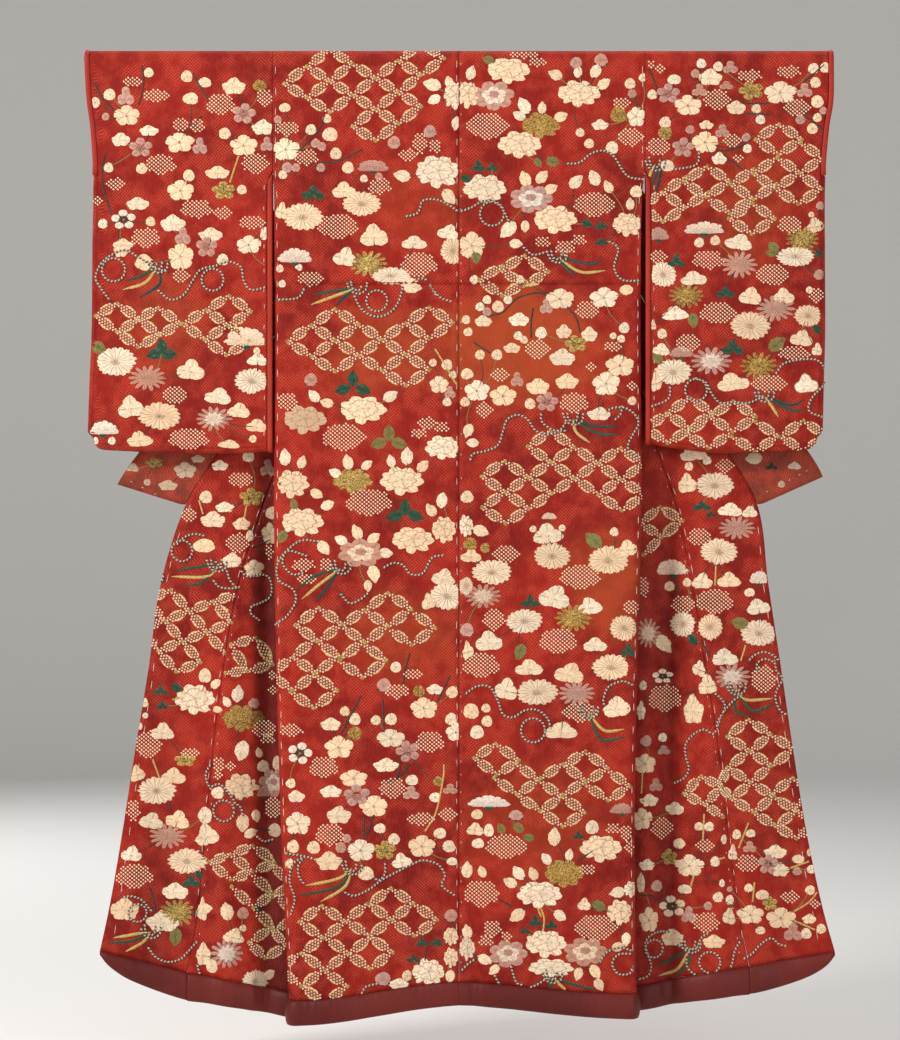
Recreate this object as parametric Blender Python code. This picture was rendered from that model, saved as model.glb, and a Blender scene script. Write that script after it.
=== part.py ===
# Uchikake wedding kimono, seen from its back, hung on a plain rod with both fronts turned out.
# Metres, +Z up. The origin is the middle of the rod. The back of the garment faces -Y.
# "Down" is the distance below the rod's axis, "out" the distance from the centre-back seam.
import math
from collections import namedtuple

import bmesh
import bpy

# Driving sizes
WALL = 0.003            # lined silk with a thin wadding
SEAM = 0.0003           # left open between two pieces
LENGTH = 1.60           # shoulder to the lower edge of the patterned silk at the side seam
SHOULDER_RADIUS = 0.0125
ROD_RADIUS = 0.0104
ROD_LENGTH = 1.23
NECK_HALF = 0.082       # half of the neck slit along the shoulder fold
NECK_CORNER = 0.008     # the slit widens by this where it turns down the front
COLLAR_TURN = 0.15      # the collar has rolled over to the outer side below this
PANEL_WIDTH = 0.31      # one loom width, seam to seam
OVERLAP_TOP = 0.235     # where the overlap panel starts at the collar
COLLAR_END = 0.76
ARMHOLE_DEPTH = 0.19    # the sleeve is sewn to the body down to here
UNDERARM_END = 0.34     # the side seam starts below this
SIDE_CLOSED = 0.40
CUFF_DEPTH = 0.20       # the wrist opening, from the shoulder fold
ROLL_THICK = 0.0155     # padded hem roll
EDGE_ROLL_WIDTH = 0.0092
EDGE_ROLL_THICK = 0.0062
EDGE_ROLL_START = 0.215
SLEEVE_JOIN = 0.3166    # the sleeve's edge at the armhole
SLEEVE_FREE = 0.3266    # the sleeve's free inner edge, inside its lining roll
SLEEVE_CORNER = 0.018
SLEEVE_BOTTOM_RADIUS = 0.0105

SIDES = {"left": -1, "right": 1}

# Half outline of body and fronts, out from the centre at each height
Outline = namedtuple("Outline", "down side_l side_r seam_l seam_r edge_l edge_r")
OUTLINE = [
    Outline(0.000, 0.3163, 0.3163, 0.090, 0.090, 0.090, 0.090),
    Outline(0.120, 0.3163, 0.3163, 0.148, 0.157, 0.148, 0.157),
    Outline(0.190, 0.3160, 0.3155, 0.182, 0.195, 0.182, 0.195),
    Outline(0.235, 0.3140, 0.3110, 0.2037, 0.220, 0.2037, 0.220),
    Outline(0.400, 0.3130, 0.3080, 0.241, 0.266, 0.2836, 0.3116),
    Outline(0.660, 0.3130, 0.3095, 0.300, 0.338, 0.409, 0.456),
    Outline(0.760, 0.3135, 0.3095, 0.336, 0.372, 0.468, 0.511),
    Outline(0.900, 0.3120, 0.3065, 0.378, 0.400, 0.511, 0.530),
    Outline(1.050, 0.3090, 0.3020, 0.404, 0.424, 0.532, 0.552),
    Outline(1.200, 0.3050, 0.2990, 0.422, 0.446, 0.555, 0.573),
    Outline(1.350, 0.3000, 0.2975, 0.435, 0.462, 0.576, 0.595),
    Outline(1.500, 0.2930, 0.2990, 0.450, 0.481, 0.598, 0.622),
    Outline(1.600, 0.2880, 0.3010, 0.466, 0.498, 0.615, 0.644),
]

# Spacing of the layers: half the gap between back and front, and the radius of the hidden fold
Layers = namedtuple("Layers", "down gap fold forward")
LAYERS = [
    Layers(0.00, 0.0125, 0.0060, 0.000),
    Layers(0.12, 0.0127, 0.0085, 0.000),
    Layers(0.40, 0.0132, 0.0120, 0.000),
    Layers(0.70, 0.0140, 0.0140, 0.003),
    Layers(1.10, 0.0150, 0.0165, 0.010),
    Layers(1.60, 0.0165, 0.0190, 0.016),
]

# Lower edge of the patterned silk, down from the rod
Hem = namedtuple("Hem", "centre side seam edge")
HEM = {"left": Hem(1.568, 1.6005, 1.5610, 1.5225), "right": Hem(1.568, 1.5890, 1.5500, 1.5240)}

# Largest soft folds of the turned-out fronts: place out at the top and the hem, and depth away from the viewer
Fold = namedtuple("Fold", "side top hem half_width depth start full")
FRONT_FOLDS = [
    Fold("left", 0.335, 0.322, 0.022, 0.011, 0.60, 0.95),
    Fold("left", 0.385, 0.400, 0.030, -0.008, 0.75, 1.15),
    Fold("left", 0.470, 0.520, 0.036, 0.007, 0.90, 1.40),
    Fold("right", 0.322, 0.318, 0.012, -0.006, 0.95, 1.20),
    Fold("right", 0.350, 0.362, 0.024, 0.012, 0.60, 1.00),
    Fold("right", 0.415, 0.440, 0.032, -0.009, 0.75, 1.15),
    Fold("right", 0.500, 0.560, 0.036, 0.007, 0.90, 1.40),
]
BACK_FOLDS = [
    Fold("left", 0.060, 0.080, 0.050, 0.0030, 0.80, 1.40),
    Fold("left", 0.200, 0.220, 0.060, -0.0030, 0.90, 1.45),
    Fold("right", 0.022, 0.026, 0.014, 0.0045, 1.20, 1.55),
    Fold("right", 0.150, 0.170, 0.060, -0.0030, 0.90, 1.45),
]

Sleeve = namedtuple("Sleeve", "down outer_l outer_r")
SLEEVE = [
    Sleeve(0.00, 0.6370, 0.6370),
    Sleeve(0.07, 0.6330, 0.6365),
    Sleeve(0.12, 0.6265, 0.6290),
    Sleeve(0.20, 0.6220, 0.6225),
    Sleeve(0.33, 0.6235, 0.6220),
    Sleeve(0.46, 0.6245, 0.6225),
    Sleeve(0.56, 0.6285, 0.6200),
    Sleeve(0.67, 0.6320, 0.6175),
]
SleeveHem = namedtuple("SleeveHem", "across down_l down_r")
SLEEVE_HEM = [
    SleeveHem(0.00, 0.667, 0.6545),
    SleeveHem(0.12, 0.669, 0.6605),
    SleeveHem(0.40, 0.670, 0.6690),
    SleeveHem(0.75, 0.667, 0.667),
    SleeveHem(1.00, 0.663, 0.662),
]

# The collar round the neck: the stretch that follows the shoulder, in degrees round the rod, and how
# steeply it falls from there
Nape = namedtuple("Nape", "out start_angle end_angle fall width")
NAPE = [
    Nape(0.0000, 87.4, 12.0, 12.0, 0.058),
    Nape(0.0280, 87.4, 14.0, 14.0, 0.058),
    Nape(0.0560, 87.4, 22.0, 22.0, 0.058),
    Nape(0.0755, 87.4, 30.0, 31.0, 0.058),
    Nape(0.0826, 64.0, 26.0, 36.0, 0.058),
    Nape(0.0848, 38.0, 12.0, 38.0, 0.058),
]
# and down the front edge: the way from the seam to the free edge, which rolls over to the outer side
Lapel = namedtuple("Lapel", "down out_l out_r back_y up_l up_r width")
LAPEL = [
    Lapel(0.000, 0.12, 0.12, 0.70, -0.70, -0.70, 0.058),
    Lapel(0.040, 0.34, 0.34, 0.66, -0.68, -0.68, 0.060),
    Lapel(0.080, 0.62, 0.62, 0.55, -0.50, -0.50, 0.066),
    Lapel(0.115, 0.84, 0.84, 0.38, -0.30, -0.30, 0.075),
    Lapel(0.150, 0.95, 0.95, 0.19, -0.12, -0.12, 0.084),
    Lapel(0.190, 0.99, 0.99, 0.06, 0.00, 0.02, 0.091),
    Lapel(0.235, 0.99, 0.99, 0.00, 0.11, 0.14, 0.096),
    Lapel(0.400, 0.97, 0.96, 0.00, 0.22, 0.28, 0.108),
    Lapel(0.660, 0.96, 0.93, 0.00, 0.28, 0.36, 0.116),
    Lapel(0.760, 0.955, 0.913, 0.00, 0.30, 0.408, 0.122),
]

BACK_ROWS = [1.60, 1.50, 1.38, 1.24, 1.10, 0.95, 0.80, 0.66, 0.52, SIDE_CLOSED, 0.37, UNDERARM_END,
             0.26, ARMHOLE_DEPTH, 0.10, 0.0]
FRONT_ROWS = [0.0, 0.04, 0.08, 0.115, COLLAR_TURN, ARMHOLE_DEPTH, OVERLAP_TOP, 0.29, UNDERARM_END, 0.37,
              SIDE_CLOSED, 0.48, 0.57, 0.66, 0.76, 0.87, 0.98, 1.10, 1.22, 1.34, 1.44, 1.53, 1.60]
BACK_COLUMNS = [SEAM / 2, 0.03, 0.056, NECK_HALF, 0.125, 0.17, 0.215, 0.258]
BACK_ANGLES = [157.5, 135.0, 112.5, 96.0]
FRONT_ANGLES = [67.5, 45.0, 22.5]
EDGE_LENGTHS = [0.0, 0.0015, 0.0085, 0.0155, 0.0225]
OVERLAP_ROWS = [0.245, 0.29, 0.34, 0.40, 0.48, 0.57, 0.66, 0.76, 0.87, 0.98, 1.10, 1.22, 1.34, 1.44, 1.53,
                1.60]
SLEEVE_ROWS = [0.0, 0.07, 0.135, ARMHOLE_DEPTH, 0.2145, 0.28, 0.36, 0.44, 0.52, 0.60]
COLLAR_ROWS = [0.0, 0.04, 0.08, 0.115, COLLAR_TURN, ARMHOLE_DEPTH, OVERLAP_TOP, 0.29, 0.34, 0.40, 0.48, 0.57,
               0.66, COLLAR_END]
COLLAR_LENGTHS = [0.0, 0.003, 0.007, 0.012, 0.022]
SLEEVE_COLUMNS = [0.0, 0.12, 0.30, 0.50, 0.70, 0.85, 0.94, 0.98, 1.0]

SILK = (0.56, 0.055, 0.035, 1.0)
LINING = (0.42, 0.030, 0.022, 1.0)
WOOD = (0.30, 0.19, 0.11, 1.0)


# Reading the tables

def mix(a, b, t):
    return a + (b - a) * t


def smooth(low, high, value):
    """0 below low, 1 above high, with level ends"""
    t = min(1.0, max(0.0, (value - low) / (high - low)))
    return t * t * (3 - 2 * t)


def read(table, column, at):
    """Smooth value of one column, between rows that are sorted by their first column"""
    keys = [row[0] for row in table]
    values = [getattr(row, column) for row in table]
    at = min(keys[-1], max(keys[0], at))
    i = max(k for k in range(len(keys) - 1) if keys[k] <= at)
    slopes = []
    for k in (i, i + 1):
        before, after = max(k - 1, 0), min(k + 1, len(keys) - 1)
        slopes.append((values[after] - values[before]) / (keys[after] - keys[before]))
    span = keys[i + 1] - keys[i]
    t = (at - keys[i]) / span
    return (values[i] * (2 * t ** 3 - 3 * t ** 2 + 1) + values[i + 1] * (3 * t ** 2 - 2 * t ** 3)
            + slopes[0] * span * (t ** 3 - 2 * t ** 2 + t) + slopes[1] * span * (t ** 3 - t ** 2))


def half(table, column, side, at):
    return read(table, f"{column}_{side[0]}", at)


def folds_at(table, side, out, down):
    """Depth that the soft folds add at a point of a panel"""
    depth = 0.0
    for fold in table:
        if fold.side == side:
            centre = mix(fold.top, fold.hem, min(1.0, down / LENGTH))
            bump = math.exp(-((out - centre) / fold.half_width) ** 2)
            depth += fold.depth * smooth(fold.start, fold.full, down) * bump
    return depth


def hem_drop(hem_down, down):
    """The hem's curve is taken up by the lowest part of the cloth"""
    return down + (hem_down - LENGTH) * (down / LENGTH) ** 4


# The body: back and front panel of one length of silk over the rod

def side_angle(down):
    """90 degrees where back and front edges lie apart, 0 where the side seam joins them"""
    return math.radians(90) * (1 - smooth(UNDERARM_END, SIDE_CLOSED, down))


def side_edge(side, down, length, way):
    """A point on the stretch next to the side edge, by its length from that edge. way is -1 at the back, 1 in front"""
    out, gap = half(OUTLINE, "side", side, down), read(LAYERS, "gap", down)
    start = side_angle(down)
    lead = 0.0015 * math.cos(start)
    y_start = max(SEAM / 2, gap * math.sin(start))
    if length <= lead:
        return out, way * (y_start + length)
    radius = gap - lead - SEAM / 2
    turned = start + (length - lead) / radius
    centre = out - radius * math.cos(start)
    if turned < math.radians(90):
        return centre + radius * math.cos(turned), way * (gap - radius + radius * math.sin(turned))
    return centre - radius * (turned - math.radians(90)), way * gap


def back_row(side, down):
    """Level section of the back panel, centre seam to side edge"""
    out = half(OUTLINE, "side", side, down)
    hem = HEM[side]
    row = [(x, -read(LAYERS, "gap", down)) for x in BACK_COLUMNS]
    row += [side_edge(side, down, length, -1) for length in reversed(EDGE_LENGTHS)]
    points = []
    for x, y in row:
        level = hem_drop(mix(hem.centre, hem.side, smooth(-0.1, 1.0, x / out) * 1.02 - 0.02), down)
        soft = folds_at(BACK_FOLDS, side, x, down) * (1 - smooth(out - 0.05, out - 0.02, x))
        points.append((x, y + soft, -level))
    return points


def return_y(side, out, down):
    """How far behind the rod's plane the turned-out front lies"""
    side_out, edge = half(OUTLINE, "side", side, down), half(OUTLINE, "edge", side, down)
    base = read(LAYERS, "gap", down) + 2 * read(LAYERS, "fold", down)
    reach = smooth(0.0, 1.0, (out - side_out) / max(edge - side_out, 0.05))
    return base - read(LAYERS, "forward", down) * reach + folds_at(FRONT_FOLDS, side, out, down)


def front_hem(side, out, at_fold=False):
    """Lower edge of the front at a distance out"""
    hem, seam, edge = HEM[side], half(OUTLINE, "seam", side, LENGTH), half(OUTLINE, "edge", side, LENGTH)
    side_out = half(OUTLINE, "side", side, LENGTH)
    if at_fold or out <= side_out:
        return hem.side
    if out <= seam:
        return mix(hem.side, hem.seam, smooth(-0.3, 1.15, (out - side_out) / (seam - side_out)))
    return mix(hem.seam, hem.edge, (out - seam) / (edge - seam))


def front_fold(side, down):
    """Where the front turns back: start of the turn, its angle, and the length of cloth after it"""
    seam, fold = half(OUTLINE, "seam", side, down), read(LAYERS, "fold", down)
    if down >= COLLAR_TURN:
        side_out, _ = side_edge(side, down, EDGE_LENGTHS[-1], 1)
        width = mix(PANEL_WIDTH - 0.03, PANEL_WIDTH, smooth(COLLAR_TURN, OVERLAP_TOP, down))
        start = (seam + side_out - (width - EDGE_LENGTHS[-1]) + math.pi * fold) / 2
        return start, math.pi, seam - start
    turn = max(0.001, math.pi * smooth(0.0, COLLAR_TURN, down))
    after = mix(0.012, front_fold(side, COLLAR_TURN)[2], down / COLLAR_TURN)
    radius = math.pi * fold / turn
    return seam + radius * math.sin(turn) + after * math.cos(turn), turn, after


def front_row(side, down, inner_steps=5, fold_steps=6, outer_steps=6):
    """Level section of the front panel, side edge to overlap seam, round the hidden fold"""
    gap, fold = read(LAYERS, "gap", down), read(LAYERS, "fold", down)
    start, turn, after = front_fold(side, down)
    row = [side_edge(side, down, length, 1) for length in EDGE_LENGTHS]
    from_x, from_y = row[-1]
    for k in range(1, inner_steps + 1):
        row.append((mix(from_x, start, k / inner_steps), mix(from_y, gap, k / inner_steps)))
    radius = math.pi * fold / turn
    for k in range(1, fold_steps + 1):
        angle = turn * k / fold_steps
        row.append((start - radius * math.sin(angle), gap + radius * (1 - math.cos(angle))))
    end_x, end_y = row[-1]
    points = [(x, y, -hem_drop(front_hem(side, x, True), down)) for x, y in row]
    narrow = min(0.004, after / 4)
    for k in range(1, outer_steps + 1):
        run = after if k == outer_steps else (after - narrow) * k / (outer_steps - 1)
        if down >= COLLAR_TURN:
            x = end_x + run - SEAM * 0.6 * run / after
            y = mix(end_y, return_y(side, x, down), smooth(0.0, 0.5, run / after))
        else:
            x, y = end_x - run * math.cos(turn), end_y + run * math.sin(turn)
        points.append((x, y, -hem_drop(front_hem(side, x), down)))
    return points


# Meshes: rows of points, joined by strips, then given their wall thickness

class Sheet:
    """An open surface that grows row by row"""

    def __init__(self, side=None):
        self.points, self.faces, self.sign = [], [], SIDES.get(side, 1)

    def row(self, points):
        first = len(self.points)
        self.points += [(self.sign * x, y, z) for x, y, z in points]
        return list(range(first, len(self.points)))

    def strip(self, lower, upper):
        """Joins two rows; where their counts differ, by triangles that keep pace along both"""
        if len(lower) == len(upper):
            for i in range(len(lower) - 1):
                self.faces.append((lower[i], lower[i + 1], upper[i + 1], upper[i]))
            return
        along = []
        for row in (lower, upper):
            lengths = [0.0]
            for a, b in zip(row, row[1:]):
                lengths.append(lengths[-1] + math.dist(self.points[a], self.points[b]))
            along.append([value / lengths[-1] for value in lengths])
        i = j = 0
        while i < len(lower) - 1 or j < len(upper) - 1:
            next_low = along[0][i + 1] if i < len(lower) - 1 else 2.0
            next_up = along[1][j + 1] if j < len(upper) - 1 else 2.0
            if next_low <= next_up:
                self.faces.append((lower[i], lower[i + 1], upper[j]))
                i += 1
            else:
                self.faces.append((lower[i], upper[j + 1], upper[j]))
                j += 1


def material(name, colour, roughness):
    made = bpy.data.materials.new(name)
    made.use_nodes = True
    shader = made.node_tree.nodes["Principled BSDF"]
    shader.inputs["Base Color"].default_value = colour
    shader.inputs["Roughness"].default_value = roughness
    shader.inputs["Metallic"].default_value = 0.0
    return made


def add_object(name, points, faces, finish, wall=None):
    """One named object; with wall it is cloth of that thickness about the surface"""
    mesh = bpy.data.meshes.new(name)
    mesh.from_pydata(points, [], faces)
    same_way = bmesh.new()
    same_way.from_mesh(mesh)
    bmesh.ops.recalc_face_normals(same_way, faces=same_way.faces)
    same_way.to_mesh(mesh)
    same_way.free()
    mesh.materials.append(finish)
    mesh.shade_smooth()
    mesh.update()
    made = bpy.data.objects.new(name, mesh)
    bpy.context.scene.collection.objects.link(made)
    if wall:
        cloth = made.modifiers.new("Wall", "SOLIDIFY")
        cloth.thickness = wall
        cloth.offset = 0.0
        cloth.use_rim = True
    return made


def swept(name, rings, finish):
    """A closed body through rings of equal count, with flat ends"""
    points = [point for ring in rings for point in ring]
    count = len(rings[0])
    faces = []
    for i in range(len(rings) - 1):
        for k in range(count):
            a, b = i * count + k, i * count + (k + 1) % count
            faces.append((a, b, b + count, a + count))
    faces.append(tuple(reversed(range(count))))
    faces.append(tuple((len(rings) - 1) * count + k for k in range(count)))
    return add_object(name, points, faces, finish)


def on_shoulder(angle, radius=SHOULDER_RADIUS):
    """A point round the rod: 0 degrees is the front level with its axis, 90 the top, 180 the back"""
    turned = math.radians(angle)
    return radius * math.cos(turned), radius * math.sin(turned)


# Pieces

def body_panel(side, finish):
    """Back, shoulder and front in one, with the neck slit along the shoulder fold"""
    sheet = Sheet(side)
    rows = [sheet.row(back_row(side, down)) for down in BACK_ROWS]
    at_shoulder = [point[0] for point in back_row(side, 0.0)]
    for angle in BACK_ANGLES:
        y, z = on_shoulder(angle)
        rows.append(sheet.row([(x, y, z) for x in at_shoulder]))
    slit = 90 + math.degrees(SEAM / 2 / SHOULDER_RADIUS)
    top = []
    for x in at_shoulder:
        y, z = on_shoulder(slit if x < NECK_HALF - 0.001 else 90)
        top.append((x, y, z))
    rows.append(sheet.row(top))
    for lower, upper in zip(rows, rows[1:]):
        sheet.strip(lower, upper)
    neck = BACK_COLUMNS.index(NECK_HALF)
    before = rows[-1][neck:]
    at_front = [point[0] for point in reversed(front_row(side, 0.0))]
    for angle in FRONT_ANGLES:
        y, z = on_shoulder(angle)
        corner = NECK_CORNER * angle / 90
        row = sheet.row([(x - corner * max(0.0, (0.13 - x) / 0.04), y, z) for x in at_front])
        sheet.strip(before, row)
        before = row
    for down in FRONT_ROWS:
        row = sheet.row(list(reversed(front_row(side, down))))
        sheet.strip(before, row)
        before = row
    return add_object(f"body_panel_{side}", sheet.points, sheet.faces, finish, WALL)


def overlap_row(side, down, steps=6):
    """Level section of the overlap panel, its seam to the front edge"""
    seam = half(OUTLINE, "seam", side, down) + SEAM * 0.6
    edge = half(OUTLINE, "edge", side, down) - (SEAM if down <= COLLAR_END else 0.0)
    narrow = min(0.004, (edge - seam) / 4)
    points = []
    for k in range(steps + 1):
        x = mix(seam + narrow, edge, (k - 1) / (steps - 1)) if k else seam
        points.append((x, return_y(side, x, down), -hem_drop(front_hem(side, x), down)))
    return points


def overlap_panel(side, finish):
    sheet = Sheet(side)
    rows = [sheet.row(overlap_row(side, down)) for down in OVERLAP_ROWS]
    for upper, lower in zip(rows, rows[1:]):
        sheet.strip(upper, lower)
    return add_object(f"overlap_panel_{side}", sheet.points, sheet.faces, finish, WALL)


def nape_row(nape):
    """Collar section that goes over the rod and hangs down behind the neck slit"""
    points = []
    for k in range(4):
        y, z = on_shoulder(mix(nape.start_angle, nape.end_angle, (k / 3) ** 1.4))
        points.append((nape.out, y, z))
    arc = SHOULDER_RADIUS * math.radians(nape.start_angle - nape.end_angle)
    end = math.radians(nape.fall)
    for k in range(1, 4):
        run = (nape.width - arc) * k / 3
        points.append((nape.out, y + run * math.sin(end), z - run * math.cos(end)))
    return points


def lapel_row(side, down):
    """Collar section along the front edge, seam to free edge; it leaves the seam level with the panel"""
    if down < OVERLAP_TOP:
        row = front_row(side, down)
    else:
        edge = half(OUTLINE, "edge", side, down)
        row = [(x, return_y(side, x, down), -hem_drop(front_hem(side, x), down)) for x in (edge - 0.01, edge)]
    (from_x, from_y, _), (x, y, z) = row[-2:]
    level = math.hypot(x - from_x, y - from_y)
    leave = [(x - from_x) / level, (y - from_y) / level, 0.0]
    way = [half(LAPEL, "out", side, down), read(LAPEL, "back_y", down), half(LAPEL, "up", side, down)]
    if down == 0.0:
        leave, x = way, x - WALL / 2 - 3 * SEAM
    width = read(LAPEL, "width", down)
    lengths = COLLAR_LENGTHS + [mix(COLLAR_LENGTHS[-1], width, 0.45), width]
    points, done = [], -mix(5 * SEAM, SEAM, smooth(0.12, 0.24, down))
    for length in lengths:
        turned = smooth(0.0, 0.015, (done + length) / 2)
        step = [mix(a, b, turned) for a, b in zip(leave, way)]
        size = math.hypot(*step)
        x, y, z = [value + part / size * (length - done) for value, part in zip((x, y, z), step)]
        points.append((x, y, z))
        done = length
    return points


def collar(finish):
    """One band from the left end round the neck to the right end"""
    sheet = Sheet()
    chain = []
    for side, sign in SIDES.items():
        rows = [lapel_row(side, down) for down in reversed(COLLAR_ROWS)]
        rows += [nape_row(nape) for nape in reversed(NAPE)]
        rows = [[(sign * x, y, z) for x, y, z in row] for row in rows]
        chain += rows if side == "left" else list(reversed(rows))[1:]
    rows = [sheet.row(row) for row in chain]
    for before, after in zip(rows, rows[1:]):
        sheet.strip(before, after)
    return add_object("collar", sheet.points, sheet.faces, finish, WALL)


def sleeve_x(side, across, down):
    """Distance out of a point of the sleeve"""
    inner = mix(SLEEVE_JOIN, SLEEVE_FREE, smooth(ARMHOLE_DEPTH, EDGE_ROLL_START - 0.002, down))
    outer = half(SLEEVE, "outer", side, down) - EDGE_ROLL_WIDTH - SEAM
    return mix(inner, outer, across)


def sleeve_gap(across, down):
    """Half the room between the sleeve's two layers"""
    return SHOULDER_RADIUS + 0.002 * math.sin(math.pi * min(1.0, down / 0.66)) * math.sin(math.pi * across)


def sleeve_ring(side, across):
    """Round the sleeve: from its lowest point up the back, over the rod and down the front"""
    left = (1 - across) * (half(SLEEVE, "outer", side, 0.66) - SLEEVE_FREE)
    lift = 0.0
    if left < SLEEVE_CORNER:
        lift = SLEEVE_CORNER - math.sqrt(SLEEVE_CORNER ** 2 - (SLEEVE_CORNER - left) ** 2)
    bottom = half(SLEEVE_HEM, "down", side, across) - lift
    last = bottom - SLEEVE_BOTTOM_RADIUS
    layer = []
    for down in SLEEVE_ROWS + [last]:
        down += (CUFF_DEPTH - ARMHOLE_DEPTH) * across * (down == ARMHOLE_DEPTH)
        gap = mix(sleeve_gap(across, down), SLEEVE_BOTTOM_RADIUS, smooth(0.45, last, down))
        layer.append((down, gap))
    ring = [(sleeve_x(side, across, down), -gap, -down) for down, gap in reversed(layer)]
    for angle in (157.5, 135.0, 112.5, 90.0, 67.5, 45.0, 22.5):
        y, z = on_shoulder(angle)
        ring.append((sleeve_x(side, across, 0.0), y, z))
    ring += [(sleeve_x(side, across, down), gap, -down) for down, gap in layer]
    for angle in (-45, -90, -135):
        y, z = on_shoulder(angle, SLEEVE_BOTTOM_RADIUS)
        ring.append((sleeve_x(side, across, last), y, z - last))
    return ring


def sleeve(side, finish):
    """A flat bag, open at the wrist, the armhole and the free inner edge"""
    sheet = Sheet(side)
    rings = [sheet.row(sleeve_ring(side, across)) for across in SLEEVE_COLUMNS]
    for inner, outer in zip(rings, rings[1:]):
        sheet.strip(inner + inner[:1], outer + outer[:1])
    count = len(SLEEVE_ROWS) + 1
    last = rings[-1]
    back = list(reversed(last[:count]))
    front = last[-3 - count:-3]
    below = [last[-1], last[-2], last[-3]]
    rows = []
    for i in range(SLEEVE_ROWS.index(ARMHOLE_DEPTH), count):
        x, y_back, z = sheet.points[back[i]]
        y_front = sheet.points[front[i]][1]
        radius = (y_front - y_back) / 2
        bulge = min(radius, EDGE_ROLL_WIDTH)
        between = []
        for angle in (-45, 0, 45):
            turned = math.radians(angle)
            between.append((abs(x) + bulge * math.cos(turned), radius * math.sin(turned), z))
        rows.append([back[i]] + sheet.row(between) + [front[i]])
    for upper, lower in zip(rows, rows[1:]):
        sheet.strip(lower, upper)
    foot = rows[-1]
    sheet.faces.append((foot[0], below[0], foot[1]))
    sheet.faces.append((foot[1], below[0], below[1], foot[2]))
    sheet.faces.append((foot[2], below[1], below[2], foot[3]))
    sheet.faces.append((foot[3], below[2], foot[4]))
    return add_object(f"sleeve_{side}", sheet.points, sheet.faces, finish, WALL)


def flat_roll(name, path, side, finish, width=EDGE_ROLL_WIDTH, thick=EDGE_ROLL_THICK):
    """A narrow padded edge of lining, flat towards the viewer, along a path in a plane of constant x"""
    rings = []
    for i, (x, y, z) in enumerate(path):
        before, after = path[max(i - 1, 0)], path[min(i + 1, len(path) - 1)]
        run = math.hypot(after[1] - before[1], after[2] - before[2])
        normal = ((after[2] - before[2]) / run, -(after[1] - before[1]) / run)
        ring = []
        for k in range(8):
            angle = math.radians(45 * k + 22.5)
            off = math.sin(angle) * thick / 2 / math.sin(math.radians(67.5))
            across = x + math.cos(angle) * width / 2 / math.cos(math.radians(22.5))
            ring.append((SIDES[side] * across, y + normal[0] * off, z + normal[1] * off))
        rings.append(ring)
    return swept(name, rings, finish)


def sleeve_edges(side, finish):
    """Lining that shows along the free inner edge and round the wrist opening"""
    ring = sleeve_ring(side, 0.0)
    out = SLEEVE_FREE - 2 * SEAM - EDGE_ROLL_WIDTH / 2
    back = [(out, y, z) for x, y, z in ring[-2:] + ring[:len(SLEEVE_ROWS) + 1] if z < -EDGE_ROLL_START]
    back.append((out, -sleeve_gap(0.0, EDGE_ROLL_START), -EDGE_ROLL_START))
    front = [(x, -y, z) for x, y, z in reversed(back[1:])]
    flat_roll(f"sleeve_inner_edge_{side}", front + back, side, finish)
    loop = [point for point in sleeve_ring(side, 1.0) if point[2] > -CUFF_DEPTH - 0.001]
    middle = EDGE_ROLL_WIDTH / 2 + SEAM
    path = [(x + middle, y, z) for x, y, z in loop]
    for end in (0, -1):
        x, y, z = path[end]
        path[end] = (x + 0.0012, y, z + 0.006)
    flat_roll(f"wrist_edge_{side}", path, side, finish, thick=EDGE_ROLL_THICK * 0.9)


HEM_SECTION = [(-0.30, 0.0), (0.30, 0.0), (0.82, 0.28), (1.0, 0.60), (0.62, 1.0), (-0.62, 1.0), (-1.0, 0.60),
               (-0.82, 0.28)]


def hem_roll(name, row, heights, side, finish, thick=ROLL_THICK):
    """Padded lining turned out below the hem. row is the panel's lowest row of points"""
    rings = []
    for i, (x, y, z) in enumerate(row):
        before, after = row[max(i - 1, 0)], row[min(i + 1, len(row) - 1)]
        run = math.hypot(after[0] - before[0], after[1] - before[1])
        across = (-(after[1] - before[1]) / run, (after[0] - before[0]) / run)
        if i in (0, len(row) - 1) and abs(across[0]) < 0.7:
            across = (0.0, 1.0)
        height = heights[i]
        wide = min(thick, height * 0.75) / 2
        ring = []
        for u, v in HEM_SECTION:
            ring.append((SIDES[side] * (x + across[0] * u * wide), y + across[1] * u * wide,
                         z - SEAM - v * height))
        rings.append(ring)
    return swept(name, rings, finish)


def hem_rolls(side, finish):
    back = back_row(side, LENGTH)
    front = front_row(side, LENGTH)
    overlap = overlap_row(side, LENGTH)
    seam = half(OUTLINE, "seam", side, LENGTH)
    edge = half(OUTLINE, "edge", side, LENGTH)
    hem_roll(f"hem_roll_back_{side}", back, [mix(0.040, 0.043, x / 0.3) for x, y, z in back], side, finish)
    heights = [mix(0.043, 0.047, smooth(0.30, seam, x)) for x, y, z in front]
    hem_roll(f"hem_roll_front_{side}", front, heights, side, finish)
    heights = []
    for x, y, z in overlap:
        t = (x - seam) / (edge - seam)
        heights.append(0.047 * math.sqrt(max(0.02, 1 - t ** 2.2)))
    hem_roll(f"hem_roll_overlap_{side}", overlap, heights, side, finish)


def rod(finish):
    """Plain round rod through both sleeves, flat at its ends"""
    bpy.ops.mesh.primitive_cylinder_add(vertices=32, radius=ROD_RADIUS, depth=ROD_LENGTH)
    made = bpy.context.active_object
    made.name = made.data.name = "rod"
    made.rotation_euler = (0.0, math.radians(90), 0.0)
    made.data.materials.append(finish)


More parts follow.
